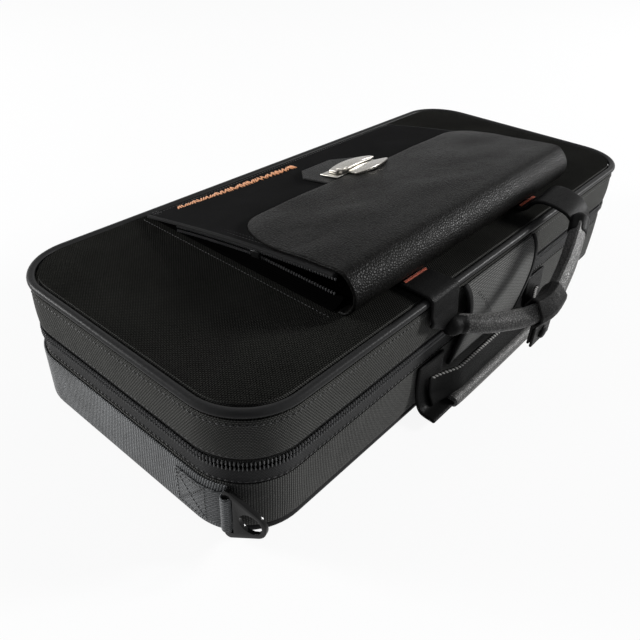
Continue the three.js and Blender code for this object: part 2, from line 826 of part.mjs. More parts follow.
// The housing leans back towards its rear edge
const housingSection = [
	[housingFront, housingFoot],
	[housingBack, housingFoot],
	[housingBack, housingFoot + housingHeight / 3],
	[housingBack - housingDepth / 4, housingTop],
	[housingFront, housingTop],
];
const housingBar = loft([ringAtX(housingNearX, housingSection), ringAtX(lockFarX, housingSection)]);
const housingBlock = extrude(lockPlan(housingNearX, housingFront), housingTop + overrun, 5);
const heelFarX = releaseNearX + releaseLength / 2 + releaseHeelLength;
const heelNearX = heelFarX - releaseHeelLength;
const springNearX = heelNearX - seatGap - springWire / 2 - springLength;
const channelMiddle = housingFoot + housingHeight / 2;
const channelDepth = releaseHeel + seatGap;
const channel = box(springNearX - springWire / 2 - seatGap, heelFarX + seatGap,
	housingFront - overrun, housingFront + channelDepth,
	channelMiddle - channelHeight / 2, channelMiddle + channelHeight / 2);
const housing = toManifold(housingBar).intersect(toManifold(housingBlock)).subtract(toManifold(channel));
add(lock, 'lock_housing', fromManifold(housing), nickel);

// The release bar slides along X; its heel runs in the housing's channel against the spring
const releaseTop = housingFoot + releaseHeight;
const barSection = [
	[seatGap, housingFoot],
	[seatGap + releaseDepth, housingFoot],
	[seatGap + releaseDepth, releaseTop],
	[seatGap + releaseDepth / 2, releaseTop],
	[seatGap, releaseTop - releaseDepth / 2],
];
const bar = loft([ringAtX(releaseNearX, barSection), ringAtX(releaseNearX + releaseLength, barSection)]);
const heelHalf = channelHeight / 2 - seatGap;
const heel = box(heelNearX, heelFarX, seatGap + releaseDepth / 2, housingFront + releaseHeel,
	channelMiddle - heelHalf, channelMiddle + heelHalf);
add(lock, 'lock_release_bar', fuse(bar, heel), nickel);

class Spring extends THREE.Curve {
	getPoint(t, target = new THREE.Vector3()) {
		const angle = t * springTurns * Math.PI * 2;
		return target.set(t * springLength, springRadius * Math.cos(angle), springRadius * Math.sin(angle));
	}
}
const wire = new THREE.Shape();
wire.absarc(0, 0, springWire / 2, 0, Math.PI * 2);
const springCoil = new THREE.ExtrudeGeometry(wire, {
	steps: springTurns * 7,
	curveSegments: 2,
	bevelEnabled: false,
	extrudePath: new Spring(),
});
springCoil.translate(springNearX, housingFront + channelDepth / 2, channelMiddle);
add(lock, 'lock_spring', springCoil, nickel);

// The hasp plate is a bevelled, slanted bar on the leaf, with a lug that drops past the leaf's edge
const hasp = onPanel(flapEdgeY, flapLift + leather + haspSeat);
const haspBack = haspClearance + haspLugDepth;
const haspFront = haspBack - haspDepth;
function haspRing(inset, z) {
	return [
		[haspNearX + inset, haspFront + inset],
		[haspNearX + haspLength - inset, haspFront + inset],
		[haspNearX + haspLength - haspSkew - inset, haspBack],
		[haspNearX - haspSkew / 4 + inset, haspBack],
	].map(([x, y]) => new THREE.Vector3(x, y, z));
}
const haspBevel = haspThickness / 2;
const haspPlate = loft([haspRing(0, 0), haspRing(0, haspBevel), haspRing(haspBevel, haspThickness)]);
const haspMiddle = haspNearX + haspLength / 2;
const lug = box(haspMiddle - haspLugLength / 2, haspMiddle + haspLugLength / 2,
	haspClearance, haspBack, -leather - haspSeat / 2, haspBevel);
add(hasp, 'hasp_plate', fuse(haspPlate, lug), nickel);

// Handles: flat leather tabs, sewn to the shells, hold rolled grips. The left tabs lie close to the
// side; the upper handle's right tab stands out in an arch.

const sideY = -caseWidth / 2;
const tabs = [[-1, 'left'], [1, 'right']];
const tabMiddleX = tabInnerX + tabWidth / 2;
const hingeTilt = (rightDrop[0][1] - leftDrop[0][1]) / (2 * tabMiddleX);

function tabLoft(side, table, foot) {
	const ringAt = (fromMiddle) => ringAtX(side * tabMiddleX + fromMiddle, thicken(
		table.map(([out, up, tilt]) => [sideY - out, foot + up + tilt * hingeTilt * fromMiddle]),
		tabThickness,
	));
	return loft([ringAt(-tabWidth / 2), ringAt(tabWidth / 2)]);
}

add(model, 'upper_tab_root_left', tabLoft(-1, leftRoot, lidTop), leatherBlack);
add(model, 'upper_tab_root_right', tabLoft(1, rightRoot, lidTop), leatherBlack);

// Bar-tacks across the roots
tabs.forEach(([side, name]) => {
	const y = sideY - leftRoot[0][0] - tackWidth / 2;
	const z = lidTop + leftRoot[0][1] + tabThickness / 2 + seatGap;
	const x = side * tabMiddleX;
	add(model, `bar_tack_${name}`, box(x - tackLength / 2, x + tackLength / 2,
		y - tackWidth, y, z, z + tackHeight), orangeThread);
});

// A rolled grip's section is round with a raised seam on top, and swells between its ends
function rollRing(path, share, radius, seam) {
	const along = path.getTangentAt(share);
	const across = new THREE.Vector3(0, 0, 1).cross(along).normalize();
	const up = along.clone().cross(across);
	return roundSection(0, 0, radius, gripSides).map(([a, b]) => {
		const lifted = b > radius * seamShare ? b + seam : b;
		return path.getPointAt(share).addScaledVector(across, a).addScaledVector(up, lifted);
	});
}

function rolledGrip(path, steps, endRadius, fullRadius, seam) {
	return loft(spread(0, 1, steps).map((share) => {
		const swell = hump(share) ** swellShare;
		return rollRing(path, share, THREE.MathUtils.lerp(endRadius, fullRadius, swell), seam * swell);
	}));
}

const upperPath = new THREE.CatmullRomCurve3(gripPath.map(([x, out, up]) => (
	new THREE.Vector3(x, sideY - out, lidTop + up)
)));
add(model, 'upper_handle', fuse(
	rolledGrip(upperPath, 26, gripEndRadius, gripRadius, gripSeam),
	tabLoft(-1, leftDrop, lidTop),
	tabLoft(1, rightDrop, lidTop),
), leatherBlack);

// Lower handle: its tabs leave the base's side and lie low, its roll has a sewn flange
tabs.forEach(([side, name]) => add(model, `lower_tab_root_${name}`, tabLoft(side, lowerRoot, 0), leatherBlack));

const gripReach = tabInnerX + lowerGripEndRadius;
const lowerPath = new THREE.LineCurve3(
	new THREE.Vector3(-gripReach, sideY - lowerGripOut, lowerGripUp),
	new THREE.Vector3(gripReach, sideY - lowerGripOut, lowerGripUp),
);
const flangeOutline = thicken([flangeFoot, flangeTip].map(([out, up]) => [sideY - out, up]), flangeThickness);
const flangeReach = tabInnerX - seatGap;
add(model, 'lower_handle', fuse(
	rolledGrip(lowerPath, 12, lowerGripEndRadius, lowerGripRadius, 0),
	loft([ringAtX(-flangeReach, flangeOutline), ringAtX(flangeReach, flangeOutline)]),
	tabLoft(-1, lowerDrop, 0),
	tabLoft(1, lowerDrop, 0),
), leatherBlack);

// Handle wrap: a sleeve round the upper grip with an inner tail, and an outer tail that snaps to it

const wrapCentre = upperPath.getPointAt(wrapPlaceShare);
const sleeveInner = gripRadius + wrapGap;
const sleeveOuter = sleeveInner + wrapLeather;
const sleeveReach = wrapHalfLength / upperPath.getLength();

function sleeveSkin(reach, radius) {
	const shares = spread(wrapPlaceShare - reach, wrapPlaceShare + reach, 6);
	return loft(shares.map((share) => rollRing(upperPath, share, radius, gripSeam)));
}

const wrapNear = wrapCentre.x - wrapHalfLength;
const wrapFar = wrapCentre.x + wrapHalfLength;
const innerTailY = wrapCentre.y + seatGap;
const innerTail = box(wrapNear, wrapFar, innerTailY, innerTailY + wrapLeather,
	wrapCentre.z - sleeveOuter - wrapInnerTailLength, wrapCentre.z - sleeveInner - wrapLeather / 2);
const sleeve = fuse(sleeveSkin(sleeveReach, sleeveOuter), innerTail);
const boreReach = sleeveReach + overrun / upperPath.getLength();
add(model, 'wrap_sleeve', cut(sleeve, sleeveSkin(boreReach, sleeveInner)), leatherBlack);

const tailTop = wrapCentre.z - sleeveOuter - wrapHem;
const outerTailY = wrapCentre.y - wrapLeather;
const outerTail = box(wrapNear, wrapFar, outerTailY, wrapCentre.y, tailTop - wrapTailLength, tailTop);
add(model, 'wrap_tail', outerTail, leatherBlack);
const cap = new THREE.CylinderGeometry(snapRadius, snapTopRadius, snapHeight, 16);
add(model, 'snap_cap', cap.translate(
	wrapCentre.x,
	outerTailY - seatGap - snapHeight / 2,
	tailTop - wrapInnerTailLength / 2,
), leatherBlack);

// Cover panel: hangs from the lid between the tabs and bulges over the zip

function coverLine(x) {
	const share = (x + coverHalfLength) / (2 * coverHalfLength);
	const bulge = THREE.MathUtils.lerp(coverBulgeNear, coverBulgeFar, share);
	const steps = 10;
	return Array.from({ length: steps + 1 }, (_, i) => {
		const t = i / steps;
		const out = seatGap + coverThickness / 2 + bulge * hump(t ** coverShoulderShare);
		return [sideY - out, THREE.MathUtils.lerp(coverTop, coverBottom, t)];
	});
}
add(model, 'cover_panel', loft(spread(-coverHalfLength, coverHalfLength, 4).map((x) => (
	ringAtX(x, thicken(coverLine(x), coverThickness))
))), nylon);

// Webbing: round the back of the base from ring to ring, with a narrower loop about each ring's bar

const webbingTop = webbingBottom + webbingWidth;
const webbingMiddle = (webbingBottom + webbingTop) / 2;
const loopInner = Math.hypot(ringBar / 2, ringThickness / 2) + seatGap;
const loopOuter = loopInner + webbingThickness;
const webbingRun = [
	...cornerStations(3, 360 - ringAngle, 360),
	...cornerStations(0, 0, 90),
	...cornerStations(1, 90, 180),
	...cornerStations(2, 180, 180 + ringAngle),
];
const band = carry(flatSection(webbingSeat, webbingThickness, webbingBottom, webbingTop), webbingRun);

function barPlace(side) {
	const angle = THREE.MathUtils.degToRad(side < 0 ? 180 + ringAngle : 360 - ringAngle);
	const reach = cornerRadius + webbingSeat + loopOuter;
	return new THREE.Vector2(
		side * (caseLength / 2 - cornerRadius) + reach * Math.cos(angle),
		cornerRadius - caseWidth / 2 + reach * Math.sin(angle),
	);
}

function upright(radius, side, height) {
	const geometry = new THREE.CylinderGeometry(radius, radius, height, 16);
	geometry.rotateX(Math.PI / 2);
	const { x, y } = barPlace(side);
	return geometry.translate(x, y, webbingMiddle);
}

add(model, 'webbing_band', cut(
	fuse(band, upright(loopOuter, -1, loopWidth), upright(loopOuter, 1, loopWidth)),
	upright(loopInner, -1, ringHeight + overrun),
	upright(loopInner, 1, ringHeight + overrun),
), webbingNylon);

// A strap ring: a rounded triangular plate with a slot beside its bar and a round hole at its tip
function strapRing() {
	const half = ringHeight / 2;
	const shape = new THREE.Shape();
	const back = -ringBar / 2;
	const corner = [back + ringCornerRadius, half - ringCornerRadius];
	const span = Math.hypot(ringTip - corner[0], corner[1]);
	const lean = Math.atan2(corner[1], ringTip - corner[0]) - Math.asin((ringTipRadius - ringCornerRadius) / span);
	shape.absarc(corner[0], corner[1], ringCornerRadius, Math.PI / 2 - lean, Math.PI);
	shape.absarc(corner[0], -corner[1], ringCornerRadius, Math.PI, Math.PI * 1.5 + lean);
	shape.absarc(ringTip, 0, ringTipRadius, lean - Math.PI / 2, Math.PI / 2 - lean);
	shape.closePath();
	const slotEnd = loopOuter + ringSlotGap;
	const slotHalf = loopWidth / 2 + 2 * seatGap;
	const slot = new THREE.Path();
	slot.moveTo(ringBar / 2, -slotHalf);
	slot.lineTo(ringBar / 2, slotHalf);
	slot.lineTo(slotEnd, slotHalf);
	slot.lineTo(slotEnd, -slotHalf);
	slot.closePath();
	const hole = new THREE.Path();
	hole.absarc(ringTip, 0, ringHoleRadius, 0, Math.PI * 2);
	shape.holes.push(slot, hole);
	const geometry = extrude(shape, ringThickness, 7);
	return geometry.translate(0, 0, -ringThickness / 2).rotateX(Math.PI / 2);
}

[['near', -1, nearRingLean], ['far', 1, farRingLean]].forEach(([where, side, lean]) => {
	const ring = add(model, `strap_ring_${where}`, strapRing(), ringPlastic);
	const { x, y } = barPlace(side);
	ring.position.set(x, y, webbingMiddle);
	const tangent = 270 - side * ringAngle;
	ring.rotation.z = THREE.MathUtils.degToRad(tangent + side * lean);
});

export default model;
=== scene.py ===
import math

import bmesh
import bpy
import numpy as np
from mathutils import Matrix, Vector, noise


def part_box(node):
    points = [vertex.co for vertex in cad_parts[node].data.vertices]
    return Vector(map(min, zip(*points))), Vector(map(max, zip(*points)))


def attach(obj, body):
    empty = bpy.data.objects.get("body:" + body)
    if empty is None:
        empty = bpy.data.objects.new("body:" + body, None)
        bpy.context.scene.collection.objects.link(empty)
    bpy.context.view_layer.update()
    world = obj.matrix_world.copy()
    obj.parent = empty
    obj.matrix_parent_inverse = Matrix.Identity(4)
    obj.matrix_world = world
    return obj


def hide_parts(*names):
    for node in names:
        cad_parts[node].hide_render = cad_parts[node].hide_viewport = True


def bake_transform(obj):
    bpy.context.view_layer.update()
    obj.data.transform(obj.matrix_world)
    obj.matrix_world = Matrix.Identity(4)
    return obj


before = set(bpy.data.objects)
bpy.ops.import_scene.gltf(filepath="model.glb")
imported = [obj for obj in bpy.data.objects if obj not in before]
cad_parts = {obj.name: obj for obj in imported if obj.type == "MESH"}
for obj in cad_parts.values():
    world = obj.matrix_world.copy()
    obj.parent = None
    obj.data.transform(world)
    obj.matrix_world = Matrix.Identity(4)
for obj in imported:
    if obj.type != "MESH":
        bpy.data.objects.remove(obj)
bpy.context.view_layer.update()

# Shapes are worked out in millimetres and made in metres.
MM = 0.001

# Camera: where it stands in metres, how it is turned, and its focal length in pixels of the frame
VIEW_POINT = Vector((-0.39229, -0.269157, 0.311766))
VIEW_TURN = Vector((2.044105, -0.908783, 0.519403))
FOCAL_PIXELS = 643.669
FRAME_PIXELS = 640

# Case body
HALF_LENGTH = 250
HALF_WIDTH = 110
CORNER = 40
WALL = 9.2
FLOOR = 6
LID_INSIDE = 89
LID_TOP = 95
SEAM_HEIGHT = 41
SEAT = 0.3
BACK_Y = HALF_WIDTH
SIDE_Y = -HALF_WIDTH

# Pocket and flap
POCKET_HALF = 147
POCKET_BACK = 100
POCKET_FRONT = -77
POCKET_RISE = 25
POCKET_CROWN = 0.4
PANEL = 2
LEATHER = 2.4
FLAP_HALF = 145
FLAP_FOLD = -75
FLAP_EDGE = 20.5
FLAP_LIFT = 0.4
ROLL_REACH = 15.6
ROLL_SHARES = [
    (0.35, 0), (0.61, 0.03), (0.85, 0.16), (1, 0.35), (1, 0.57), (0.8, 0.79), (0.4, 0.98), (0.19, 1), (0, 1),
]


# Camera and lamps


def place_camera():
    data = bpy.data.cameras.new("camera")
    data.sensor_width = 36
    data.lens = FOCAL_PIXELS / FRAME_PIXELS * data.sensor_width
    data.clip_start = 0.01
    turn = Matrix.Rotation(VIEW_TURN.length, 3, VIEW_TURN)
    camera = bpy.data.objects.new("camera", data)
    camera.matrix_world = Matrix.Translation(VIEW_POINT) @ Matrix(
        (turn.row[0], -turn.row[1], -turn.row[2])
    ).transposed().to_4x4()
    bpy.context.scene.collection.objects.link(camera)
    bpy.context.scene.camera = camera


def area_lamp(name, spot, aim, size, power):
    data = bpy.data.lights.new(name, "AREA")
    data.shape = "RECTANGLE"
    data.size, data.size_y = size
    data.energy = power
    lamp = bpy.data.objects.new(name, data)
    lamp.location = spot
    lamp.rotation_euler = (Vector(aim) - Vector(spot)).to_track_quat("-Z", "Y").to_euler()
    bpy.context.scene.collection.objects.link(lamp)


# Shader toolkit


class Sock:
    """The output of a node. Arithmetic on it adds Math nodes."""

    def __init__(self, nodes, socket):
        self.nodes = nodes
        self.socket = socket

    def math(self, operation, *others):
        values = dict(enumerate((self, *others)))
        return self.nodes.node("ShaderNodeMath", {"operation": operation}, values)

    def clamp(self):
        return self.nodes.node("ShaderNodeMath", {"operation": "ADD", "use_clamp": True}, {0: self, 1: 0})

    def __add__(self, other):
        return self.math("ADD", other)

    __radd__ = __add__

    def __sub__(self, other):
        return self.math("SUBTRACT", other)

    def __rsub__(self, other):
        return self.nodes.node("ShaderNodeMath", {"operation": "SUBTRACT"}, {0: other, 1: self})

    def __mul__(self, other):
        return self.math("MULTIPLY", other)

    __rmul__ = __mul__

    def __truediv__(self, other):
        return self.math("DIVIDE", other)

    def __mod__(self, other):
        return self.math("FLOORED_MODULO", other)

    def __pow__(self, other):
        return self.math("POWER", other)


class Nodes:
    """A node tree. Every node that is added to it comes from node()."""

    def __init__(self, tree):
        self.tree = tree

    def node(self, kind, settings=None, sockets=None, output=0):
        made = self.tree.nodes.new(kind)
        for key, value in (settings or {}).items():
            setattr(made, key, value)
        for key, value in (sockets or {}).items():
            self.feed(made.inputs[key], value)
        return Sock(self, made.outputs[output])

    def feed(self, socket, value):
        if isinstance(value, Sock):
            self.tree.links.new(value.socket, socket)
        else:
            socket.default_value = value

    def sees_backdrop(self):
        """1 for rays from the camera, in reflections and through clear parts, and 0 for the rest."""
        camera = self.node("ShaderNodeLightPath")
        rays = camera.socket.node.outputs
        return (camera + Sock(self, rays["Is Glossy Ray"]) + Sock(self, rays["Is Transmission Ray"])).clamp()


class Finish(Nodes):
    """A material. The constants go on its shader's own sockets."""

    def __init__(self, name, **constants):
        self.material = bpy.data.materials.new(name)
        self.material.use_nodes = True
        super().__init__(self.material.node_tree)
        self.shader = self.tree.nodes["Principled BSDF"]
        self.set(**constants)

    def set(self, **values):
        for name, value in values.items():
            self.feed(self.shader.inputs[name.replace("_", " ")], value)

    def parts(self, vector):
        split = self.node("ShaderNodeSeparateXYZ", {}, {0: vector}).socket.node
        return [Sock(self, output) for output in split.outputs]

    def cloth(self):
        """Place on the piece's own cloth map, in metres, along and across."""
        return self.parts(self.node("ShaderNodeUVMap", {"uv_map": "cloth"}))[:2]

    def place(self):
        """Place in the object's own space, in metres."""
        return self.node("ShaderNodeTexCoord", output=3)

    def noise(self, scale, detail=2, roughness=0.5):
        sockets = {"Vector": self.place(), "Scale": scale, "Detail": detail, "Roughness": roughness}
        return self.node("ShaderNodeTexNoise", {}, sockets)

    def mix(self, factor, low, high):
        return self.node("ShaderNodeMix", {"data_type": "RGBA"}, {0: factor, 6: low, 7: high}, 2)

    def dress(self, colour, rough, height, depth):
        """Sets what varies over the surface, with a relief depth millimetres deep, and gives the material."""
        relief = self.node("ShaderNodeBump", {}, {"Height": height, "Distance": depth * MM, "Strength": 1})
        self.set(Base_Color=colour, Roughness=rough, Normal=relief)
        return self.material


def tone(red, green=None, blue=None):
    return (red, red if green is None else green, red if blue is None else blue, 1)


def arch(value):
    """Rises and falls once in each whole step of value, from 0 to 1 and back."""
    part = value.math("FRACT")
    return (part - part * part) * 4


def woven(name, pitch, depth, dark, light, rough=0.7, fuzz=0.25, spec=0.02):
    """A plain weave: rows of raised yarn grains, each row shifted against the last one."""
    finish = Finish(name, Specular_IOR_Level=spec)
    along, across = finish.cloth()
    drift = finish.noise(60, 3)
    row = across / (pitch[1] * MM) + drift * 0.25
    column = along / (pitch[0] * MM) + (row.math("FLOOR") % 2) * 0.5
    grain = ((arch(column) * 0.75 + 0.25) * arch(row)) ** 1.4
    fibre = finish.noise(2600, 2)
    height = grain * (1 - fuzz) + fibre * fuzz
    wear = finish.noise(24, 4, 0.6)
    # The yarn tops are painted lighter and the gaps darker, as painted highlight and painted shade of the
    # weave; the wear noise varies the tone at random.
    colour = finish.mix((height * (wear * 0.8 + 0.5)).clamp(), dark, light)
    return finish.dress(colour, rough + (wear - 0.5) * 0.2, height, depth)


def ribbed(name, pitch, depth, dark, light, spec, rough=0.6, slant=0.0, cross=4.0, upright=False, worn=0.7):
    """Cloth with ribs along its length, or upright ones, crossed by fine weft marks."""
    finish = Finish(name, Sheen_Weight=0.04, Sheen_Roughness=0.35, Specular_IOR_Level=spec)
    along, across = reversed(finish.cloth()) if upright else finish.cloth()
    step = pitch * MM
    row = across / step + along * (slant / step)
    marks = arch(along / (step * cross) + (row.math("FLOOR") % 2) * 0.5)
    height = arch(row) * (marks * 0.5 + 0.5)
    wear = finish.noise(30, 4, 0.6)
    fibre = finish.noise(2400, 1)
    # The rib tops are painted lighter and the valleys darker, as painted highlight and painted shade of the
    # ribs; the wear noise varies the tone at random.
    shade = (height * 0.7 + fibre * 0.3) * ((wear - 0.5) * worn + 0.95)
    colour = finish.mix(shade.clamp(), dark, light)
    return finish.dress(colour, rough + (wear - 0.5) * 0.25, height * 0.85 + fibre * 0.15, depth)


def grained_leather(name, dark, light, cell=1.9, depth=0.2, spec=0.035, crumple=1.2):
    """Pebbled leather: cells with creases between them, on soft hollows and a slow change of gloss."""
    finish = Finish(name, Specular_IOR_Level=spec)
    place = finish.place()
    warp = finish.node("ShaderNodeVectorMath", {"operation": "MULTIPLY_ADD"}, {
        0: finish.node("ShaderNodeTexNoise", {}, {"Vector": place, "Scale": 220, "Detail": 2}, 1),
        1: (0.0012, 0.0012, 0.0012),
        2: place,
    })
    crease = finish.node("ShaderNodeTexVoronoi", {"feature": "DISTANCE_TO_EDGE"}, {
        "Vector": warp, "Scale": 1 / (cell * MM), "Randomness": 0.9,
    })
    pebble = (crease * 3.2).clamp() ** 0.6
    fine = finish.noise(1800, 3, 0.6)
    slow = finish.noise(18, 4, 0.55)
    hollows = finish.noise(42, 2)
    height = pebble * 0.88 + fine * 0.12 + hollows * crumple
    # The creases are painted darker and the pebble tops lighter, as painted shade and painted highlight of
    # the grain; the slow noise varies the tone at random.
    colour = finish.mix((pebble * 0.9 + slow * 0.7 - 0.45).clamp(), dark, light)
    return finish.dress(colour, (slow - 0.5) * 0.22 + (1 - pebble) * 0.15 + 0.33, height, depth)


def moulded(name, colour, rough, grain, depth=0.03, spec=0.5, metal=0.0, streak=1.0):
    """A smooth hard surface with a faint grain, drawn out along X by streak for brushed metal."""
    finish = Finish(name, Metallic=metal, Specular_IOR_Level=spec)
    stretched = finish.node("ShaderNodeVectorMath", {"operation": "MULTIPLY"}, {
        0: finish.place(), 1: (1 / streak, 1, 1),
    })
    speck = finish.node("ShaderNodeTexNoise", {}, {"Vector": stretched, "Scale": grain, "Detail": 3})
    slow = finish.noise(35, 3)
    darker = tuple(channel * 0.72 for channel in colour[:3]) + (1,)
    shade = finish.mix((slow * 0.6 + speck * 0.5).clamp(), darker, colour)
    return finish.dress(shade, rough + (slow - 0.5) * 0.16 + (speck - 0.5) * 0.1, speck, depth)


def pile(name, dark, light, depth):
    """Short pile cloth: a soft nap in two sizes."""
    finish = Finish(name, Sheen_Weight=0.6, Sheen_Roughness=0.5, Specular_IOR_Level=0.15)
    nap = finish.noise(900, 4, 0.7)
    brushed = finish.noise(40, 3, 0.6)
    colour = finish.mix((nap * 0.6 + brushed * 0.5).clamp(), dark, light)
    return finish.dress(colour, 0.9 + (brushed - 0.5) * 0.1, nap, depth)


def thread(name, dark, light, spec=0.4):
    """Twisted sewing thread."""
    finish = Finish(name, Specular_IOR_Level=spec, Sheen_Weight=0.25)
    twist = finish.noise(3000, 2)
    colour = finish.mix(twist, dark, light)
    return finish.dress(colour, 0.5 + twist * 0.2, twist, 0.12)


# Mesh toolkit


def columns(*coordinates):
    """Points from their coordinates, each of them a list or one number for all the points."""
    return np.column_stack(np.broadcast_arrays(*coordinates))


def smoothstep(low, high, value):
    share = np.clip((value - low) / (high - low), 0, 1)
    return share * share * (3 - 2 * share)


def as_object(name, points, faces, maps, materials, sharp, choose=None):
    """A mesh object from points in millimetres. maps gives each face corner its place on the cloth map."""
    mesh = bpy.data.meshes.new(name)
    mesh.from_pydata([tuple(point) for point in np.asarray(points, float) * MM], [], faces)
    layer = mesh.uv_layers.new(name="cloth")
    layer.data.foreach_set("uv", (np.asarray(maps, float) * MM).ravel())
    for material in materials:
        mesh.materials.append(material)
    if choose is not None:
        mesh.polygons.foreach_set("material_index", choose)
    mesh.shade_smooth()
    mesh.set_sharp_from_angle(angle=math.radians(sharp))
    mesh.update()
    piece = bpy.data.objects.new(name, mesh)
    bpy.context.scene.collection.objects.link(piece)
    face_outwards(piece)
    return piece


def face_outwards(piece):
    shape = bmesh.new()
    shape.from_mesh(piece.data)
    if shape.calc_volume(signed=True) < 0:
        bmesh.ops.reverse_faces(shape, faces=shape.faces)
    shape.to_mesh(piece.data)
    shape.free()


def loft(name, rings, material, closed=False, sharp=40):
    """A skin through rings of points. Its cloth map runs along the rings' path and around them."""
    rings = np.asarray(rings, float)
    count, sides = rings.shape[:2]
    middles = rings.mean(axis=1)
    steps = np.linalg.norm(np.diff(np.vstack([middles, middles[:1]]), axis=0), axis=1)
    along = np.concatenate([[0], np.cumsum(steps)])
    looped = np.concatenate([rings, rings[:, :1]], axis=1)
    around = np.concatenate([[0], np.cumsum(np.linalg.norm(np.diff(looped, axis=1), axis=2).mean(axis=0))])
    faces, maps = [], []
    for j in range(count if closed else count - 1):
        here, there = j * sides, (j + 1) % count * sides
        for i in range(sides):
            k = (i + 1) % sides
            faces.append((here + i, here + k, there + k, there + i))
            maps += [(along[j], around[i]), (along[j], around[i + 1]),
                     (along[j + 1], around[i + 1]), (along[j + 1], around[i])]
    if not closed:
        for ring, base in ((range(sides - 1, -1, -1), 0), (range(sides), (count - 1) * sides)):
            faces.append(tuple(base + i for i in ring))
            maps += [(along[base // sides], around[i]) for i in ring]
    return as_object(name, rings.reshape(-1, 3), faces, maps, [material], sharp)


SPAN_STEPS = 24


def smooth_line(points, count):
    """A curve through the points by centripetal Catmull-Rom, resampled to count even steps."""
    points = np.asarray(points, float)
    padded = np.vstack([2 * points[0] - points[1], points, 2 * points[-1] - points[-2]])
    dense = []
    for i in range(len(points) - 1):
        p0, p1, p2, p3 = padded[i:i + 4]
        knots = np.concatenate([[0], np.cumsum(
            np.sqrt(np.maximum(np.linalg.norm(np.diff(padded[i:i + 4], axis=0), axis=1), 1e-6))
        )])
        for t in np.linspace(knots[1], knots[2], SPAN_STEPS, endpoint=False):
            a1 = p0 + (p1 - p0) * (t - knots[0]) / (knots[1] - knots[0])
            a2 = p1 + (p2 - p1) * (t - knots[1]) / (knots[2] - knots[1])
            a3 = p2 + (p3 - p2) * (t - knots[2]) / (knots[3] - knots[2])
            b1 = a1 + (a2 - a1) * (t - knots[0]) / (knots[2] - knots[0])
            b2 = a2 + (a3 - a2) * (t - knots[1]) / (knots[3] - knots[1])
            dense.append(b1 + (b2 - b1) * (t - knots[1]) / (knots[2] - knots[1]))
    dense.append(points[-1])
    dense = np.array(dense)
    run = np.concatenate([[0], np.cumsum(np.linalg.norm(np.diff(dense, axis=0), axis=1))])
    at = np.linspace(0, run[-1], count)
    return np.column_stack([np.interp(at, run, dense[:, k]) for k in range(dense.shape[1])])


def strip_outline(line, thickness, cap=4):
    """A flat strip seen on edge: the line's two sides, with a half-round at each end."""
    line = np.asarray(line, float)
    along = np.gradient(line, axis=0)
    along /= np.maximum(np.linalg.norm(along, axis=1, keepdims=True), 1e-9)
    normal = np.column_stack([-along[:, 1], along[:, 0]])
    half = thickness / 2
    turns = np.linspace(0, math.pi, cap + 2)[1:-1]
    end = [line[-1] + half * (normal[-1] * math.cos(t) + along[-1] * math.sin(t)) for t in turns]
    start = [line[0] - half * (normal[0] * math.cos(t) + along[0] * math.sin(t)) for t in turns]
    return np.vstack([line + normal * half, end, (line - normal * half)[::-1], start])


def edge_fade(distance, radius):
    """How thick a strip is at a distance from its side edge, so that the edge is half-round."""
    return math.sqrt(max(0.02, 1 - (1 - min(distance / radius, 1)) ** 2))


def edged(start, end, step, radius):
    """Stations from start to end, closer together at both edges."""
    inside = np.linspace(start + radius, end - radius, max(3, round((end - start) / step)))
    shares = np.array([0, 0.08, 0.3, 0.6])
    return np.concatenate([start + radius * shares, inside, (end - radius * shares)[::-1]])


def ribbon(name, xs, line_at, thickness, material, wave=0.0, sharp=50):
    """A strip that is wide along X: line_at gives its YZ centre line at each X."""
    rings = []
    for x in xs:
        fade = edge_fade(min(x - xs[0], xs[-1] - x), thickness / 2)
        section = strip_outline(line_at(x), thickness * fade)
        if wave:
            section = section + np.array([
                (0, wave * noise.noise(Vector((x * 0.021, y * 0.03, z * 0.03)))) for y, z in section
            ])
        rings.append(columns(x, *section.T))
    return loft(name, rings, material, sharp=sharp)


def tube(name, path, radius_at, material, sides=24, ridge_at=None):
    """A round skin along a path, with an optional ridge on its upper side."""
    path = np.asarray(path, float)
    tangents = np.gradient(path, axis=0)
    rings = []
    for j, (point, tangent) in enumerate(zip(path, tangents)):
        share = j / (len(path) - 1)
        tangent = tangent / np.linalg.norm(tangent)
        across = np.cross((0, 0, 1), tangent)
        across /= np.linalg.norm(across)
        up = np.cross(tangent, across)
        ring = []
        for i in range(sides):
            angle = (i + 0.5) / sides * 2 * math.pi
            radius = radius_at(share)
            if ridge_at:
                radius += ridge_at(share, math.degrees(angle) - 90)
            ring.append(point + across * radius * math.cos(angle) + up * radius * math.sin(angle))
        rings.append(ring)
    return loft(name, rings, material)


def evaluated_copy(piece):
    """The piece's mesh with its modifiers applied, and none left on it."""
    graph = bpy.context.evaluated_depsgraph_get()
    mesh = bpy.data.meshes.new_from_object(piece.evaluated_get(graph), depsgraph=graph)
    piece.modifiers.clear()
    old = piece.data
    piece.data = mesh
    bpy.data.meshes.remove(old)
    return piece


def merged_copy(node, name, material):
    """A welded copy of a CAD node's mesh, without the edges inside its flat faces."""
    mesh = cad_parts[node].data.copy()
    mesh.name = name
    shape = bmesh.new()
    shape.from_mesh(mesh)
    bmesh.ops.remove_doubles(shape, verts=shape.verts, dist=0.002 * MM)
    bmesh.ops.dissolve_limit(shape, angle_limit=math.radians(1), verts=shape.verts, edges=shape.edges)
    shape.to_mesh(mesh)
    shape.free()
    mesh.materials.clear()
    mesh.materials.append(material)
    piece = bpy.data.objects.new(name, mesh)
    bpy.context.scene.collection.objects.link(piece)
    return piece


def bevelled(node, name, material, width, segments=3):
    """A CAD node's shape with its edges rounded."""
    piece = merged_copy(node, name, material)
    modifier = piece.modifiers.new("edges", "BEVEL")
    modifier.width = width * MM
    modifier.segments = segments
    modifier.limit_method = "ANGLE"
    modifier.angle_limit = math.radians(30)
    modifier.use_clamp_overlap = True
    evaluated_copy(piece)
    piece.data.shade_smooth()
    piece.data.set_sharp_from_angle(angle=math.radians(35))
    return piece


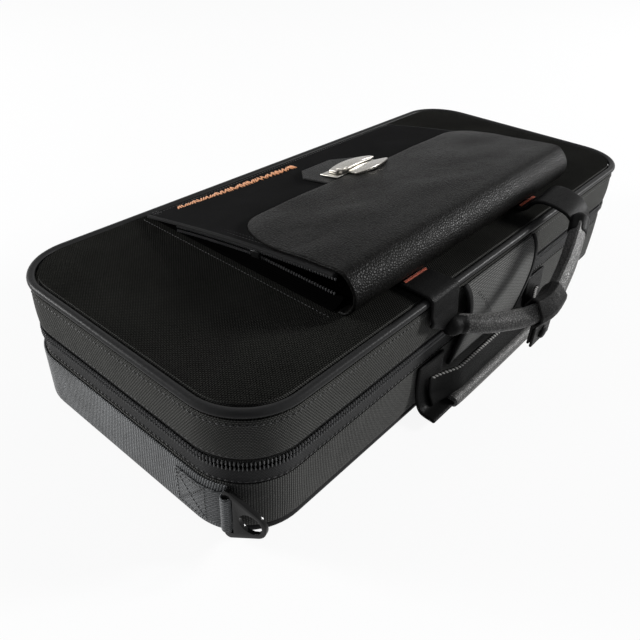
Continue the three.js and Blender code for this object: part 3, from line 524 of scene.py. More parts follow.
def softened(node, name, material, voxel, rounds, wave=0.0):
    """A CAD node's shape remeshed and smoothed, as foam or leather rounds its edges."""
    piece = merged_copy(node, name, material)
    remesh = piece.modifiers.new("even", "REMESH")
    remesh.mode = "VOXEL"
    remesh.voxel_size = voxel * MM
    smooth = piece.modifiers.new("soft", "SMOOTH")
    smooth.iterations = rounds
    smooth.factor = 0.5
    evaluated_copy(piece)
    if wave:
        mesh = piece.data
        spots = np.empty((len(mesh.vertices), 3), np.float32)
        normals = np.empty((len(mesh.vertices), 3), np.float32)
        mesh.vertices.foreach_get("co", spots.ravel())
        mesh.vertex_normals.foreach_get("vector", normals.ravel())
        lifts = np.array([noise.noise(Vector(spot) / MM * 0.02) for spot in spots])
        waved = spots + normals * lifts[:, None] * wave * MM
        mesh.vertices.foreach_set("co", waved.astype(np.float32).ravel())
        mesh.update()
    piece.data.materials.clear()
    piece.data.materials.append(material)
    piece.data.shade_smooth()
    return piece


def seat(piece, body, slot, *nodes):
    """The piece rides on a body and stands for the nodes, which it hides. slot is not used."""
    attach(piece, body)
    if nodes:
        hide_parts(*nodes)
    return piece


# Rows of stitches, satin threads and zip teeth, from one node tree


def row_tree():
    """Sets one small oval bead after another along each line of the mesh."""
    tree = bpy.data.node_groups.new("row_of_beads", "GeometryNodeTree")
    face = tree.interface
    face.new_socket("Lines", in_out="INPUT", socket_type="NodeSocketGeometry")
    for name in ("Pitch", "Length", "Width", "Thickness", "Unevenness"):
        face.new_socket(name, in_out="INPUT", socket_type="NodeSocketFloat")
    face.new_socket("Seed", in_out="INPUT", socket_type="NodeSocketInt")
    face.new_socket("Material", in_out="INPUT", socket_type="NodeSocketMaterial")
    face.new_socket("Beads", in_out="OUTPUT", socket_type="NodeSocketGeometry")

    rows = Nodes(tree)
    given = {output.name: Sock(rows, output) for output in rows.node("NodeGroupInput").socket.node.outputs}
    curve = rows.node("GeometryNodeMeshToCurve", {}, {0: given["Lines"]})
    spaced = rows.node("GeometryNodeResampleCurve", {"mode": "LENGTH"}, {
        "Curve": curve, "Length": given["Pitch"],
    })
    heading, up = (
        rows.node("GeometryNodeInputNamedAttribute", {"data_type": "FLOAT_VECTOR"}, {"Name": name})
        for name in ("heading", "up")
    )
    upright = rows.node("FunctionNodeAlignRotationToVector", {"axis": "Z"}, {"Vector": up})
    turned = rows.node("FunctionNodeAlignRotationToVector", {"axis": "X", "pivot_axis": "Z"}, {
        "Rotation": upright, "Vector": heading,
    })
    spread = rows.node("FunctionNodeRandomValue", {"data_type": "FLOAT"}, {
        "Min": -1.0, "Max": 1.0, "Seed": given["Seed"],
    }, 1)
    wobble = rows.node("ShaderNodeCombineXYZ", {}, {"Z": spread * given["Unevenness"]})
    skewed = rows.node("FunctionNodeRotateRotation", {"rotation_space": "LOCAL"}, {
        "Rotation": turned, "Rotate By": rows.node("FunctionNodeEulerToRotation", {}, {0: wobble}),
    })
    size = rows.node("ShaderNodeCombineXYZ", {}, {
        "X": given["Length"], "Y": given["Width"], "Z": given["Thickness"],
    })
    bead = rows.node("GeometryNodeMeshUVSphere", {}, {"Segments": 8, "Rings": 5, "Radius": 0.5})
    placed = rows.node("GeometryNodeInstanceOnPoints", {}, {
        "Points": spaced, "Instance": bead, "Rotation": skewed, "Scale": size,
    })
    real = rows.node("GeometryNodeRealizeInstances", {}, {0: placed})
    soft = rows.node("GeometryNodeSetShadeSmooth", {}, {0: real})
    dyed = rows.node("GeometryNodeSetMaterial", {}, {0: soft, "Material": given["Material"]})
    ending = tree.nodes.new("NodeGroupOutput")
    rows.feed(ending.inputs[0], dyed)
    return tree


def row(line, up=(0, 0, 1), heading=None, closed=False):
    """A line of beads. They point along it where no heading is given."""
    return np.asarray(line, float), up, heading, closed


def beads(name, rows, kind, seed):
    """Rows of beads of a kind: finish, pitch, size (along the heading, across it, upwards), unevenness."""
    material, pitch, size, uneven = kind
    points, edges, ups, headings = [], [], [], []
    for line, up, heading, closed in rows:
        start = len(points)
        points += [tuple(point) for point in line * MM]
        edges += [(start + i, start + i + 1) for i in range(len(line) - 1)]
        if closed:
            edges.append((start + len(line) - 1, start))
        ups.append(np.broadcast_to(np.asarray(up, float), line.shape))
        headings.append(np.gradient(line, axis=0) if heading is None
                        else np.broadcast_to(np.asarray(heading, float), line.shape))
    mesh = bpy.data.meshes.new(name)
    mesh.from_pydata(points, edges, [])
    for key, values in (("up", ups), ("heading", headings)):
        layer = mesh.attributes.new(key, "FLOAT_VECTOR", "POINT")
        layer.data.foreach_set("vector", np.concatenate(values).astype(np.float32).ravel())
    piece = bpy.data.objects.new(name, mesh)
    bpy.context.scene.collection.objects.link(piece)
    modifier = piece.modifiers.new("row", "NODES")
    modifier.node_group = ROWS
    values = {
        "Pitch": pitch * MM, "Length": size[0] * MM, "Width": size[1] * MM, "Thickness": size[2] * MM,
        "Unevenness": uneven, "Seed": seed, "Material": material,
    }
    for item in ROWS.interface.items_tree:
        if item.in_out == "INPUT" and item.name in values:
            modifier[item.identifier] = values[item.name]
    return evaluated_copy(piece)


# The case's outline


CORNER_STEPS, LONG_STEPS, SHORT_STEPS = 16, 42, 14


def outline(inset):
    """Points round the case in plan, inset from its widest outline, with their outward directions."""
    radius = max(CORNER - inset, 1.0)
    reach = (HALF_LENGTH - inset - radius, HALF_WIDTH - inset - radius)
    points, outward = [], []
    signs = [(1, 1), (-1, 1), (-1, -1), (1, -1)]

    def on_corner(quarter, angle):
        sx, sy = signs[quarter % 4]
        return sx * reach[0] + radius * math.cos(angle), sy * reach[1] + radius * math.sin(angle)

    for quarter in range(4):
        for i in range(CORNER_STEPS + 1):
            angle = (quarter + i / CORNER_STEPS) * math.pi / 2
            points.append(on_corner(quarter, angle))
            outward.append((math.cos(angle), math.sin(angle)))
        angle = (quarter + 1) * math.pi / 2
        begin = np.array(points[-1])
        end = np.array(on_corner(quarter + 1, angle))
        steps = LONG_STEPS if quarter % 2 == 0 else SHORT_STEPS
        for i in range(1, steps):
            points.append(tuple(begin + (end - begin) * i / steps))
            outward.append((math.cos(angle), math.sin(angle)))
    return np.array(points), np.array(outward)


RIM, RIM_OUT = outline(0)
RIM_RUN = np.concatenate([[0], np.cumsum(np.linalg.norm(np.diff(np.vstack([RIM, RIM[:1]]), axis=0), axis=1))])


def run_stations(half):
    """The zip's run: three sides of the case, from one end of the fabric hinge to the other."""
    on_back = RIM[:, 1] > BACK_Y - 0.1
    start = int(np.argmin(np.where(on_back, np.abs(RIM[:, 0]), np.inf)))
    order = np.roll(np.arange(len(RIM)), -start)
    keep = [i for i in order if not (on_back[i] and abs(RIM[i, 0]) < half)]
    points = np.vstack([(-half, BACK_Y), RIM[keep], (half, BACK_Y)])
    outward = np.vstack([(0, 1), RIM_OUT[keep], (0, 1)])
    return points, outward


def sweep(name, stations, section, material, closed=False):
    """Carries a section of (outward, z) pairs along stations of the outline."""
    points, outward = stations
    rings = [[(*(p + o * out), z) for out, z in section] for p, o in zip(points, outward)]
    return loft(name, rings, material, closed=closed)


CORD_SIDES = 20


def circle(out, z, radius):
    angles = [(i + 0.5) / CORD_SIDES * 2 * math.pi for i in range(CORD_SIDES)]
    return [(out + radius * math.cos(a), z + radius * math.sin(a)) for a in angles]


def band_section(out, thickness, low, high, steps=10):
    """An upright strip's section with half-round edges."""
    heights = np.linspace(low + thickness / 2, high - thickness / 2, steps)
    return strip_outline(columns(out + thickness / 2, heights), thickness)


def line_at_height(stations, out, z):
    points, outward = stations
    return columns(*(points + outward * out).T, z)


def flat_directions(stations):
    return columns(*stations[1].T, 0)


FLAT_SLOPE = 0.75


def shell(name, levels, materials, shape):
    """A closed cover from levels of (inset, z). shape moves its points; flat faces take material 0."""
    rings = []
    for inset, z in levels:
        plan, outward = outline(inset)
        rings.append([shape(x, y, z, inset, out) for (x, y), out in zip(plan, outward)])
    rings = np.array(rings)
    count, sides = rings.shape[:2]
    points = rings.reshape(-1, 3)
    faces, maps, choose = [], [], []
    for j in range(count - 1):
        for i in range(sides):
            k = (i + 1) % sides
            face = (j * sides + i, j * sides + k, (j + 1) * sides + k, (j + 1) * sides + i)
            a, b, c, d = (points[v] for v in face)
            normal = np.cross(c - a, d - b)
            flat = abs(normal[2]) > FLAT_SLOPE * np.linalg.norm(normal)
            faces.append(face)
            choose.append(0 if flat else 1)
            for vertex, run in zip(face, (RIM_RUN[i], RIM_RUN[i + 1], RIM_RUN[i + 1], RIM_RUN[i])):
                maps.append(points[vertex][:2] if flat else (run, points[vertex][2]))
    for base in (0, (count - 1) * sides):
        face = [base + i for i in range(sides)]
        faces.append(tuple(face if base else face[::-1]))
        choose.append(0)
        maps += [points[vertex][:2] for vertex in faces[-1]]
    return as_object(name, points, faces, maps, materials, 60, choose)


def panel_under(y):
    along = (POCKET_BACK - y) / (POCKET_BACK - POCKET_FRONT)
    return LID_TOP + SEAT + POCKET_RISE * along * (1 + POCKET_CROWN * (1 - along))


def leaf_under(y):
    return panel_under(y) + PANEL + FLAP_LIFT


# Finishes: pitches, cells and reliefs in millimetres

# The top nylon is painted darker and the side nylons lighter: painted shade on the flat faces and painted
# light on the walls.
SHADED_TOP_NYLON = woven("top_weave_painted_shade", (1.9, 1.2), 0.6, tone(0.0004), tone(0.034, 0.034, 0.031), spec=0)
LIT_SIDE_NYLON = woven("side_weave_painted_light", (1.7, 1.1), 0.5, tone(0.004), tone(0.11, 0.11, 0.103), rough=0.6)
BASE_SIDE = ribbed("base_nylon", 1.5, 0.5, tone(0.004), tone(0.1, 0.1, 0.095), 0.03, cross=1.3, upright=True)
FINE_NYLON = woven("fine_nylon", (0.8, 0.6), 0.1, tone(0.005), tone(0.023), fuzz=0.5, spec=0)
# The gusset nylon is painted near black, as painted shade inside the pocket's folds.
SHADED_FOLD_NYLON = woven("gusset_weave_painted_shade", (1.2, 0.9), 0.2, tone(0.0005), tone(0.003), rough=0.8, spec=0)
# The zip tape comes in two tones of one cloth. The darker one is painted shade, for the tape in the lid's
# recess, the hinge cloth and the bindings. The lighter one is painted light, for the tape lit below the coil.
SHADED_TAPE = ribbed("zip_tape", 0.9, 0.1, tone(0.003), tone(0.02), 0.02)
LIT_ZIP_CLOTH = ribbed("base_tape_painted_light", 1.1, 0.2, tone(0.004), tone(0.05), 0.03, cross=1.5)
COVER_NYLON = ribbed("ribbed_nylon", 1.45, 0.5, tone(0.01), tone(0.14, 0.14, 0.134), 0.05)
WEBBING = ribbed("webbing", 1.6, 0.5, tone(0.004), tone(0.165, 0.17, 0.173), 0.08, rough=0.36, slant=0.25,
                 cross=2.5, upright=True, worn=1.6)
VINYL = moulded("piping_vinyl", tone(0.026), 0.34, 420, depth=0.12, spec=0.03)
LEATHER_BLACK = grained_leather("pebbled_leather", tone(0.0003), tone(0.009, 0.0087, 0.0081), crumple=1.6)
WRAP_LEATHER = grained_leather("wrap_leather", tone(0.006), tone(0.028, 0.027, 0.026), 1.3, 0.12, 0.04)
GRIP_LEATHER = grained_leather("grip_leather", tone(0.014), tone(0.15, 0.146, 0.14), 1.6, 0.18, 0.14)
TAB_LEATHER = grained_leather("tab_leather", tone(0.002), tone(0.009), 1.0, 0.1)
COIL = moulded("coil_nylon", tone(0.12), 0.3, 700, depth=0.02, spec=0.1)
BLACK_METAL = moulded("black_enamel", tone(0.006), 0.25, 600, spec=0.15)
NICKEL = moulded("satin_nickel", tone(0.36, 0.345, 0.315), 0.28, 2600, depth=0.003, metal=1.0, streak=14)
GLOSS = moulded("gloss_plastic", tone(0.004), 0.14, 300, spec=0.12)
PLUSH = pile("plush", tone(0.008, 0.007, 0.007), tone(0.03, 0.028, 0.027), 0.6)
PAD_CLOTH = pile("pad_cloth", tone(0.016), tone(0.05), 0.3)
BLACK_THREAD = thread("black_thread", tone(0.002), tone(0.012), spec=0.2)
GREY_THREAD = thread("grey_thread", tone(0.1, 0.1, 0.095), tone(0.34, 0.33, 0.31))
ORANGE_THREAD = thread("orange_thread", tone(0.42, 0.13, 0.04), tone(0.78, 0.36, 0.14))
RED_THREAD = thread("red_thread", tone(0.36, 0.05, 0.02), tone(0.62, 0.14, 0.06))

ROWS = row_tree()

# Kinds of beads, as beads() reads them
SHELL_STITCH = (BLACK_THREAD, 3.7, (2.7, 0.9, 0.8), 0.1)
POCKET_STITCH = (BLACK_THREAD, 2.9, (2.1, 0.55, 0.5), 0.1)
COVER_STITCH = (BLACK_THREAD, 2.7, (2.0, 0.55, 0.5), 0.1)
BOX_STITCH = (BLACK_THREAD, 2.5, (1.9, 0.6, 0.6), 0.08)
WHIP_STITCH = (GREY_THREAD, 2.9, (3.6, 1.5, 1.3), 0.15)
SATIN_STITCH = (ORANGE_THREAD, 2.1, (9.4, 1.5, 1.1), 0.5)
TACK_STITCH = (RED_THREAD, 0.62, (3.0, 0.75, 0.9), 0.08)
MAIN_TEETH = (COIL, 2.2, (3.2, 0.95, 2.2), 0.03)
POCKET_TEETH = (COIL, 2.1, (2.2, 0.8, 1.8), 0.03)


# Padded shells, piping and stitches

WALL_PUFF = 1.2
BASE_PUFF = 0.35
SEAM_DIP = 0.9
END_SWELL = (150, 185)
SWELL_HEIGHT = 1.3


def shape_cover(low, high, bulge):
    """Puffs the walls between two seams, dips the top at the piping and swells it past the pocket."""

    def move(x, y, z, inset, out):
        puff = 0.0
        if inset < 0.5 and low < z < high:
            puff = bulge * math.sin(math.pi * (z - low) / (high - low)) ** 0.6
            puff += 0.35 * bulge * noise.noise(Vector((x * 0.02, y * 0.02, z * 0.05)))
        x, y = x + out[0] * puff, y + out[1] * puff
        if z >= LID_TOP - 0.01:
            z -= SEAM_DIP * math.exp(-(inset - 5) / 3.0)
            ripple = noise.noise(Vector((x * 0.012, y * 0.016, 3)))
            z += smoothstep(*END_SWELL, abs(x)) * smoothstep(5, 35, inset) * (SWELL_HEIGHT + 0.7 * ripple)
        return x, y, z

    return move


# Each level is an inset from the widest outline and a height, from the inside round the rim to the outside
INSIDE_INSETS = (108.5, 70, 30, 12)
TOP_INSETS = (7, 9, 12, 16, 21, 27, 34, 42, 52, 64, 78, 94, 108.5)
FOOT_INSETS = (9, 14, 22, 36, 60, 90, 108.5)
lid_levels = (
    [(inset, LID_INSIDE) for inset in INSIDE_INSETS] + [(WALL + 0.5, LID_INSIDE - 0.2)]
    + [(WALL, z) for z in (LID_INSIDE - 1, 80, 70, 60, 56.4)]
    + [(WALL - 0.3, 55.6), (WALL - 1, 55.3), (6.2, 55.3), (5.5, 55.6), (5.2, 56.4), (5.2, 59.3)]
    + [(4.4, 59.8), (2, 59.8), (0.7, 60), (0.1, 60.6)]
    + [(0, z) for z in np.linspace(61.5, 86.5, 16)]
    + [(0.2, 87.3), (0.9, 87.9), (2.5, 88.1), (4.2, 88.2), (4.9, 89), (4.9, 93), (5.1, 94.2), (5.8, LID_TOP)]
    + [(inset, LID_TOP) for inset in TOP_INSETS]
)
base_levels = (
    [(inset, FLOOR) for inset in INSIDE_INSETS] + [(WALL + 0.5, FLOOR + 0.2)]
    + [(WALL, z) for z in (7, 20, 35, 48, 53.6)]
    + [(WALL - 0.3, 54.4), (WALL - 1, 54.7), (6.2, 54.7), (5.5, 54.4), (5.2, 53.6), (5.2, 50.8)]
    + [(4.6, 50.2), (2.6, 50.2), (2.1, 49.8), (2, 49), (2, 42.4)]
    + [(1.8, 41.5), (1.2, SEAM_HEIGHT), (0.4, 40.8), (0, 40.2)]
    + [(0, z) for z in np.linspace(39.4, 7.6, 18)]
    + [(0.2, 6.7), (0.9, 6.1), (2.5, 5.9), (4.6, 5.9), (5.3, 5.2), (5.3, 1), (5.6, 0.3), (6.4, 0)]
    + [(inset, 0) for inset in FOOT_INSETS]
)

# Flat faces take the top nylon with its painted shade, the walls the side nylon with its painted light.
lid_cover = shell("lid_cover", lid_levels, [SHADED_TOP_NYLON, LIT_SIDE_NYLON], shape_cover(60, 88, WALL_PUFF))
seat(lid_cover, "lid", "nylon", "lid_shell")
base_cover = shell("base_cover", base_levels, [SHADED_TOP_NYLON, BASE_SIDE], shape_cover(6, 41, BASE_PUFF))
seat(base_cover, "base", "nylon", "base_shell")

ALL_ROUND = (RIM, RIM_OUT)
ZIP_RUN = run_stations(175)

for body, cord in (("lid", circle(-0.8, 92.1, 2.8)), ("base", circle(-2.5, 3.1, 2.5))):
    bead = sweep(f"{body}_bead", ALL_ROUND, cord, VINYL, closed=True)
    seat(bead, body, "piping", f"{body}_piping")

outwards = flat_directions(ALL_ROUND)
for body, places, seed in (("lid", [(0.75, 84.6), (0.35, 62.2)], 4), ("base", [(-0.2, 42.9)], 5)):
    seam_rows = [row(line_at_height(ALL_ROUND, out, z), outwards, closed=True) for out, z in places]
    seat(beads(f"{body}_stitches", seam_rows, SHELL_STITCH, seed), body, "thread")


# Main zip

TAPE_OUT = -1.6
TAPE_THICK = 1.2
TOOTH_OUT = 0.1
BACK_DEPTH = 1.5

base_tape = band_section(TAPE_OUT, TAPE_THICK, SEAM_HEIGHT + 0.3, 51.6)
lid_tape = band_section(TAPE_OUT, TAPE_THICK, 58.4, 59.5, 4)
# The base tape takes the lighter tape with its painted light, the lid tape the darker one with its painted
# shade.
seat(sweep("base_tape", ZIP_RUN, base_tape, LIT_ZIP_CLOTH), "base", "smooth_nylon", "zip_tape_base")
seat(sweep("lid_tape", ZIP_RUN, lid_tape, SHADED_TAPE), "lid", "smooth_nylon", "zip_tape_lid")

# On the back the teeth lie deeper, inside the line that the lid turns on
tooth_out = TOOTH_OUT - BACK_DEPTH * smoothstep(0.4, 0.9, ZIP_RUN[1][:, 1])
zip_outwards = flat_directions(ZIP_RUN)
for body, z, seed in (("base", 53.35, 7), ("lid", 56.65, 8)):
    tooth_line = line_at_height(ZIP_RUN, tooth_out[:, None], z)
    seat(beads(f"{body}_coil", [row(tooth_line, zip_outwards, (0, 0, 1))], MAIN_TEETH, seed),
         body, "zip_coil", f"zip_coil_{body}")

hinge_heights = np.concatenate([
    np.linspace(41.9, 53, 8), np.linspace(53.4, 56.6, 13), np.linspace(57, 58.9, 3),
])
hinge_cloth = ribbon("hinge_cloth", np.linspace(-170, 170, 60), lambda x: columns(BACK_Y - 1, hinge_heights),
                     TAPE_THICK, SHADED_TAPE)
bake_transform(hinge_cloth)
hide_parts("hinge_fabric_base", "hinge_fabric_lid")

for letter in ("a", "b"):
    for part, edge in (("slider", 0.25), ("pull", 0.3)):
        metal = bevelled(f"zip_{part}_{letter}", f"{part}_{letter}_metal", BLACK_METAL, edge)
        seat(metal, f"{part}_{letter}", "zip_metal", f"zip_{part}_{letter}")


# Lining

PRESSURE = 4
PUFF_FRAMES = 12
PUFF_CAP = 1.8


def puff(piece, side):
    """Swells the open face of a padded piece by cloth simulation. side is 1 where that face looks up."""
    mesh = piece.data
    count = len(mesh.vertices)
    rest, normals = np.empty((count, 3), np.float32), np.empty((count, 3), np.float32)
    mesh.vertices.foreach_get("co", rest.ravel())
    mesh.vertex_normals.foreach_get("vector", normals.ravel())
    edge_of_foam = (rest[:, 2].max() if side > 0 else rest[:, 2].min()) - side * 2 * MM
    free = (normals[:, 2] * side > 0.5) & ((rest[:, 2] - edge_of_foam) * side > 0)
    glued = piece.vertex_groups.new(name="glued")
    glued.add(np.flatnonzero(~free).tolist(), 1.0, "REPLACE")
    cloth = piece.modifiers.new("air", "CLOTH")
    cloth.settings.use_pressure = True
    cloth.settings.uniform_pressure_force = PRESSURE
    cloth.settings.effector_weights.gravity = 0
    cloth.settings.vertex_group_mass = glued.name
    for frame_number in range(1, PUFF_FRAMES + 1):
        bpy.context.scene.frame_set(frame_number)
    graph = bpy.context.evaluated_depsgraph_get()
    swollen = piece.evaluated_get(graph).to_mesh()
    moved = np.empty((count, 3), np.float32)
    swollen.vertices.foreach_get("co", moved.ravel())
    piece.evaluated_get(graph).to_mesh_clear()
    piece.modifiers.remove(cloth)
    piece.vertex_groups.remove(glued)
    bpy.context.scene.frame_set(1)
    shift = moved - rest
    length = np.maximum(np.linalg.norm(shift, axis=1, keepdims=True), 1e-9)
    shift *= np.minimum(length, PUFF_CAP * MM) / length
    mesh.vertices.foreach_set("co", (rest + shift).ravel())
    mesh.update()


tray = seat(softened("fitted_tray", "plush_tray", PLUSH, 4.0, 4, 0.5), "base", "plush", "fitted_tray")
pad = seat(softened("lid_pad", "cloth_pad", PAD_CLOTH, 4.0, 4, 0.4), "lid", "foam", "lid_pad")
puff(tray, 1)
puff(pad, -1)


# Document pocket

ENDS = (("near", -1), ("far", 1))
PANEL_FRONT = POCKET_FRONT + 1
PANEL_START = POCKET_BACK - 1
PANEL_SLACK = 0.5
BINDING_RADIUS = 1.35


def panel_line(x):
    """The panel's middle at each X, hanging a little slack between its seams."""
    ys = np.linspace(PANEL_START, PANEL_FRONT, 60)
    share = smoothstep(-70, 90, ys) * (1 - smoothstep(85, 100, ys))
    sag = share * PANEL_SLACK * math.cos(x / POCKET_HALF * math.pi)
    return columns(ys, panel_under(ys) + PANEL / 2 - sag)


panel_xs = edged(-POCKET_HALF + 0.6, POCKET_HALF - 0.6, 4, 1)
document_panel = ribbon("document_panel", panel_xs, panel_line, PANEL, FINE_NYLON)
seat(document_panel, "lid", "smooth_nylon", "pocket_panel")

edge_ys = np.linspace(PANEL_START, PANEL_FRONT, 50)
over_panel = panel_under(edge_ys) + PANEL + 0.05
stitch_rows = []
for where, side in ENDS:
    binding_line = columns(side * (POCKET_HALF - 0.9), edge_ys, panel_under(edge_ys) + PANEL / 2)
    binding = tube(f"panel_binding_{where}", binding_line, lambda share: BINDING_RADIUS, SHADED_TAPE, 12)
    seat(binding, "lid", "smooth_nylon")
    stitch_rows += [row(columns(side * (POCKET_HALF - inset), edge_ys, over_panel)) for inset in (5.5, 8.5)]
    foot_ys = np.linspace(98, POCKET_FRONT, 40)
    stitch_rows.append(row(columns(side * (POCKET_HALF + 3.2), foot_ys, LID_TOP + 0.15)))
back_xs = np.linspace(-POCKET_HALF + 4, POCKET_HALF - 4, 40)
stitch_rows.append(row(columns(back_xs, 96.0, panel_under(96) + PANEL + 0.05)))
seat(beads("pocket_stitches", stitch_rows, POCKET_STITCH, 11), "lid", "thread")

ZIP_START, ZIP_OPEN = 66, -14
ZIP_DROP = 2 * 2 + 1.1 + 2 * SEAT
OPEN_HEIGHT = panel_under(ZIP_OPEN) - ZIP_DROP
FOLD_SHARE = 0.8
DEEPEST_FOLD = 13
GUSSET_STEPS = 13


def gusset_top(y):
    return min(panel_under(y) - (SEAT if y > ZIP_START else ZIP_DROP), OPEN_HEIGHT)


for where, side in ENDS:
    rings = []
    for y in np.concatenate([np.linspace(94, 66.5, 10), np.linspace(66, -76.5, 46)]):
        heights = np.linspace(LID_TOP + SEAT + 0.8, max(gusset_top(y), LID_TOP + 1.6) - 0.4, GUSSET_STEPS)
        fold = min(FOLD_SHARE * (heights[-1] - heights[0]), DEEPEST_FOLD)
        folded = side * fold * np.sin(np.linspace(0, math.pi, GUSSET_STEPS)) ** 0.8
        skin = strip_outline(columns(side * (POCKET_HALF - 2) - folded, heights), 1.0, 2)
        rings.append(columns(skin[:, 0], y, skin[:, 1]))
    # The gusset takes the near-black nylon with its painted shade.
    seat(loft(f"gusset_cloth_{where}", rings, SHADED_FOLD_NYLON), "lid", "nylon", f"pocket_gusset_{where}")
    zip_ys = np.linspace(65.7, POCKET_FRONT, 60)
    lower = [gusset_top(y) + SEAT + 1 for y in zip_ys]
    for name, heights in (("lower", lower), ("upper", panel_under(zip_ys) - 1.3)):
        teeth_line = columns(side * (POCKET_HALF - 1.3), zip_ys, heights)
        teeth = beads(f"pocket_teeth_{name}_{where}", [row(teeth_line, (side, 0, 0), (0, 0.15, 1))],
                      POCKET_TEETH, 13)
        seat(teeth, "lid", "zip_coil", f"pocket_zip_{name}_{where}")
seat(bevelled("pocket_slider", "pocket_slider_metal", BLACK_METAL, 0.2), "pocket_slide", "zip_metal",
     "pocket_slider")

# A plain band of slanted satin stitches on the panel
satin_ys = np.linspace(89, 83, 60)
satin_line = columns(np.linspace(-126, -8, 60), satin_ys, panel_under(satin_ys) + PANEL + 0.15)
seat(beads("satin_band", [row(satin_line, (0, 0.1, 1), (0.45, 1, 0))], SATIN_STITCH, 17), "lid", "thread")


# Leather flap: one skin from the lid's seam round the roll to the leaf's edge

NEAR_CORNER, FAR_CORNER = (33, 58), (20, 30)
DENT_DEPTH = 1.7
roll_low, roll_high = LID_TOP + SEAT + LEATHER / 2, leaf_under(FLAP_FOLD) + LEATHER / 2
roll_line = smooth_line([
    (FLAP_FOLD - ROLL_REACH * out, roll_low + (roll_high - roll_low) * up) for out, up in ROLL_SHARES
], 30)


def leaf_edge(x):
    across, along = NEAR_CORNER if x < 0 else FAR_CORNER
    inside = min(max((abs(x) - (FLAP_HALF - across)) / across, 0), 1)
    return FLAP_EDGE - along * (1 - math.sqrt(max(0, 1 - inside ** 2)))


def flap_line(x):
    ys = np.linspace(FLAP_FOLD + 1.5, leaf_edge(x) - LEATHER / 2, 44)
    dents = np.array([DENT_DEPTH * noise.noise(Vector((x * 0.02, y * 0.032, 7))) for y in ys])
    dents = np.maximum(dents * smoothstep(-72, -50, ys), -0.25)
    return np.vstack([roll_line, columns(ys, leaf_under(ys) + LEATHER / 2 + dents)])


flap_xs = np.unique(np.concatenate([
    edged(-FLAP_HALF, FLAP_HALF, 4, 1.2),
    -FLAP_HALF + NEAR_CORNER[0] * (1 - np.sin(np.linspace(0.02, math.pi / 2, 16))),
    FLAP_HALF - FAR_CORNER[0] * (1 - np.sin(np.linspace(0.02, math.pi / 2, 14))),
]))
flap_skin = ribbon("flap_skin", flap_xs, flap_line, LEATHER, LEATHER_BLACK, sharp=60)
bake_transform(flap_skin)
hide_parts("flap_roll", "flap_leaf")


# Lock

seat(softened("lock_patch", "lock_patch_skin", TAB_LEATHER, 0.6, 3), "lid", "leather", "lock_patch")
seat(bevelled("lock_base", "lock_foot", NICKEL, 0.25), "lid", "nickel", "lock_base")


def lock_part(name, near, far, front, back, low, high, edge):
    """A rounded block on the panel's slope. front, back and high follow the share of its length."""
    rings = []
    for x in edged(near, far, 1.5, edge):
        share = (x - near) / (far - near)
        shrink = edge * (1 - edge_fade(min(x - near, far - x), edge))
        y0, y1 = front(share) + shrink, back(share) - shrink
        z0, z1 = low + shrink, high(share) - shrink
        ring = []
        for (y, z), start in (((y1, z1), 0), ((y0, z1), 90), ((y0, z0), 180), ((y1, z0), 270)):
            for step in range(5):
                turn = math.radians(start + 22.5 * step)
                spot = y + edge * (math.cos(turn) - (1 if y == y1 else -1))
                rise = z + edge * (math.sin(turn) - (1 if z == z1 else -1))
                ring.append((x, spot, panel_under(spot) + PANEL + rise))
        rings.append(ring)
    return loft(name, rings, NICKEL, sharp=50)


def arc(start, *others):
    """A parabola through values at the shares 0, a half and 1, or a single value all along."""
    middle, end = others or (start, start)
    slope, bend = 4 * middle - 3 * start - end, 2 * (start + end - 2 * middle)
    return lambda share: start + slope * share + bend * share ** 2


# Name, body, the nodes it stands for, near and far end, front, back, underside, top and edge radius
LOCK_PARTS = [
    ("lock_body", "lid", ["lock_housing"],
     -19, 30, arc(27.3), arc(35, 37.5, 32), 3.7, arc(6.6, 7.6, 5.8), 0.7),
    ("lock_slide", "release", ["lock_release_bar"],
     -11, 23, arc(23.4, 23.4, 24.2), arc(26.9), 4.1, arc(7.2, 7.8, 6), 0.5),
    ("lock_catch", "release", [],
     -17, -11.8, arc(22.7), arc(29), 4.2, arc(8.2, 8.4, 8.2), 0.5),
    ("hasp_metal", "flap", ["hasp_plate"],
     -11, 35, arc(13.5, 10.2, 16.8), arc(22.4, 22.4, 18.4), 3.2, arc(5.2, 6, 4.6), 0.6),
]
for name, body, nodes, *form in LOCK_PARTS:
    seat(lock_part(name, *form), body, "nickel", *nodes)
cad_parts["lock_spring"].data.materials.clear()
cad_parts["lock_spring"].data.materials.append(NICKEL)


# Handles

TAB_MIDDLE = 79.5
TAB_WIDTH = 31
TAB_THICK = 2.6
LID_FOOT = LID_TOP + SEAT

# Points of the tabs' lines: outwards, upwards, and the share of the hinge line's slope
LEFT_TAB = [(-21, 1.6, 0), (-4, 1.6, 0), (0.4, 1.5, 0.2), (3, 0, 0.5), (3.8, -3.6, 1), (4.4, -10, 0.6),
            (6, -18, -1.5), (5, -26, -4.9)]
RIGHT_TAB = [(-21, 1.6, 0), (-16.4, 1.6, 0), (-13.5, 4.2, 0.2), (-9.5, 10, 0.7), (-4, 13.7, 1), (3.8, 14, 1),
             (12, 12.4, 0.8), (19, 9.2, 0.4), (23.5, 4, 0), (25, -3, 0), (24.5, -8, 0)]
LOWER_TAB = [(1.9, 40.4, 0), (1.9, 32, 0), (3.6, 15, 0), (8, 6.5, 0), (18.6, 4.6, 0)]
TILT = (14 + 4) / (2 * TAB_MIDDLE)


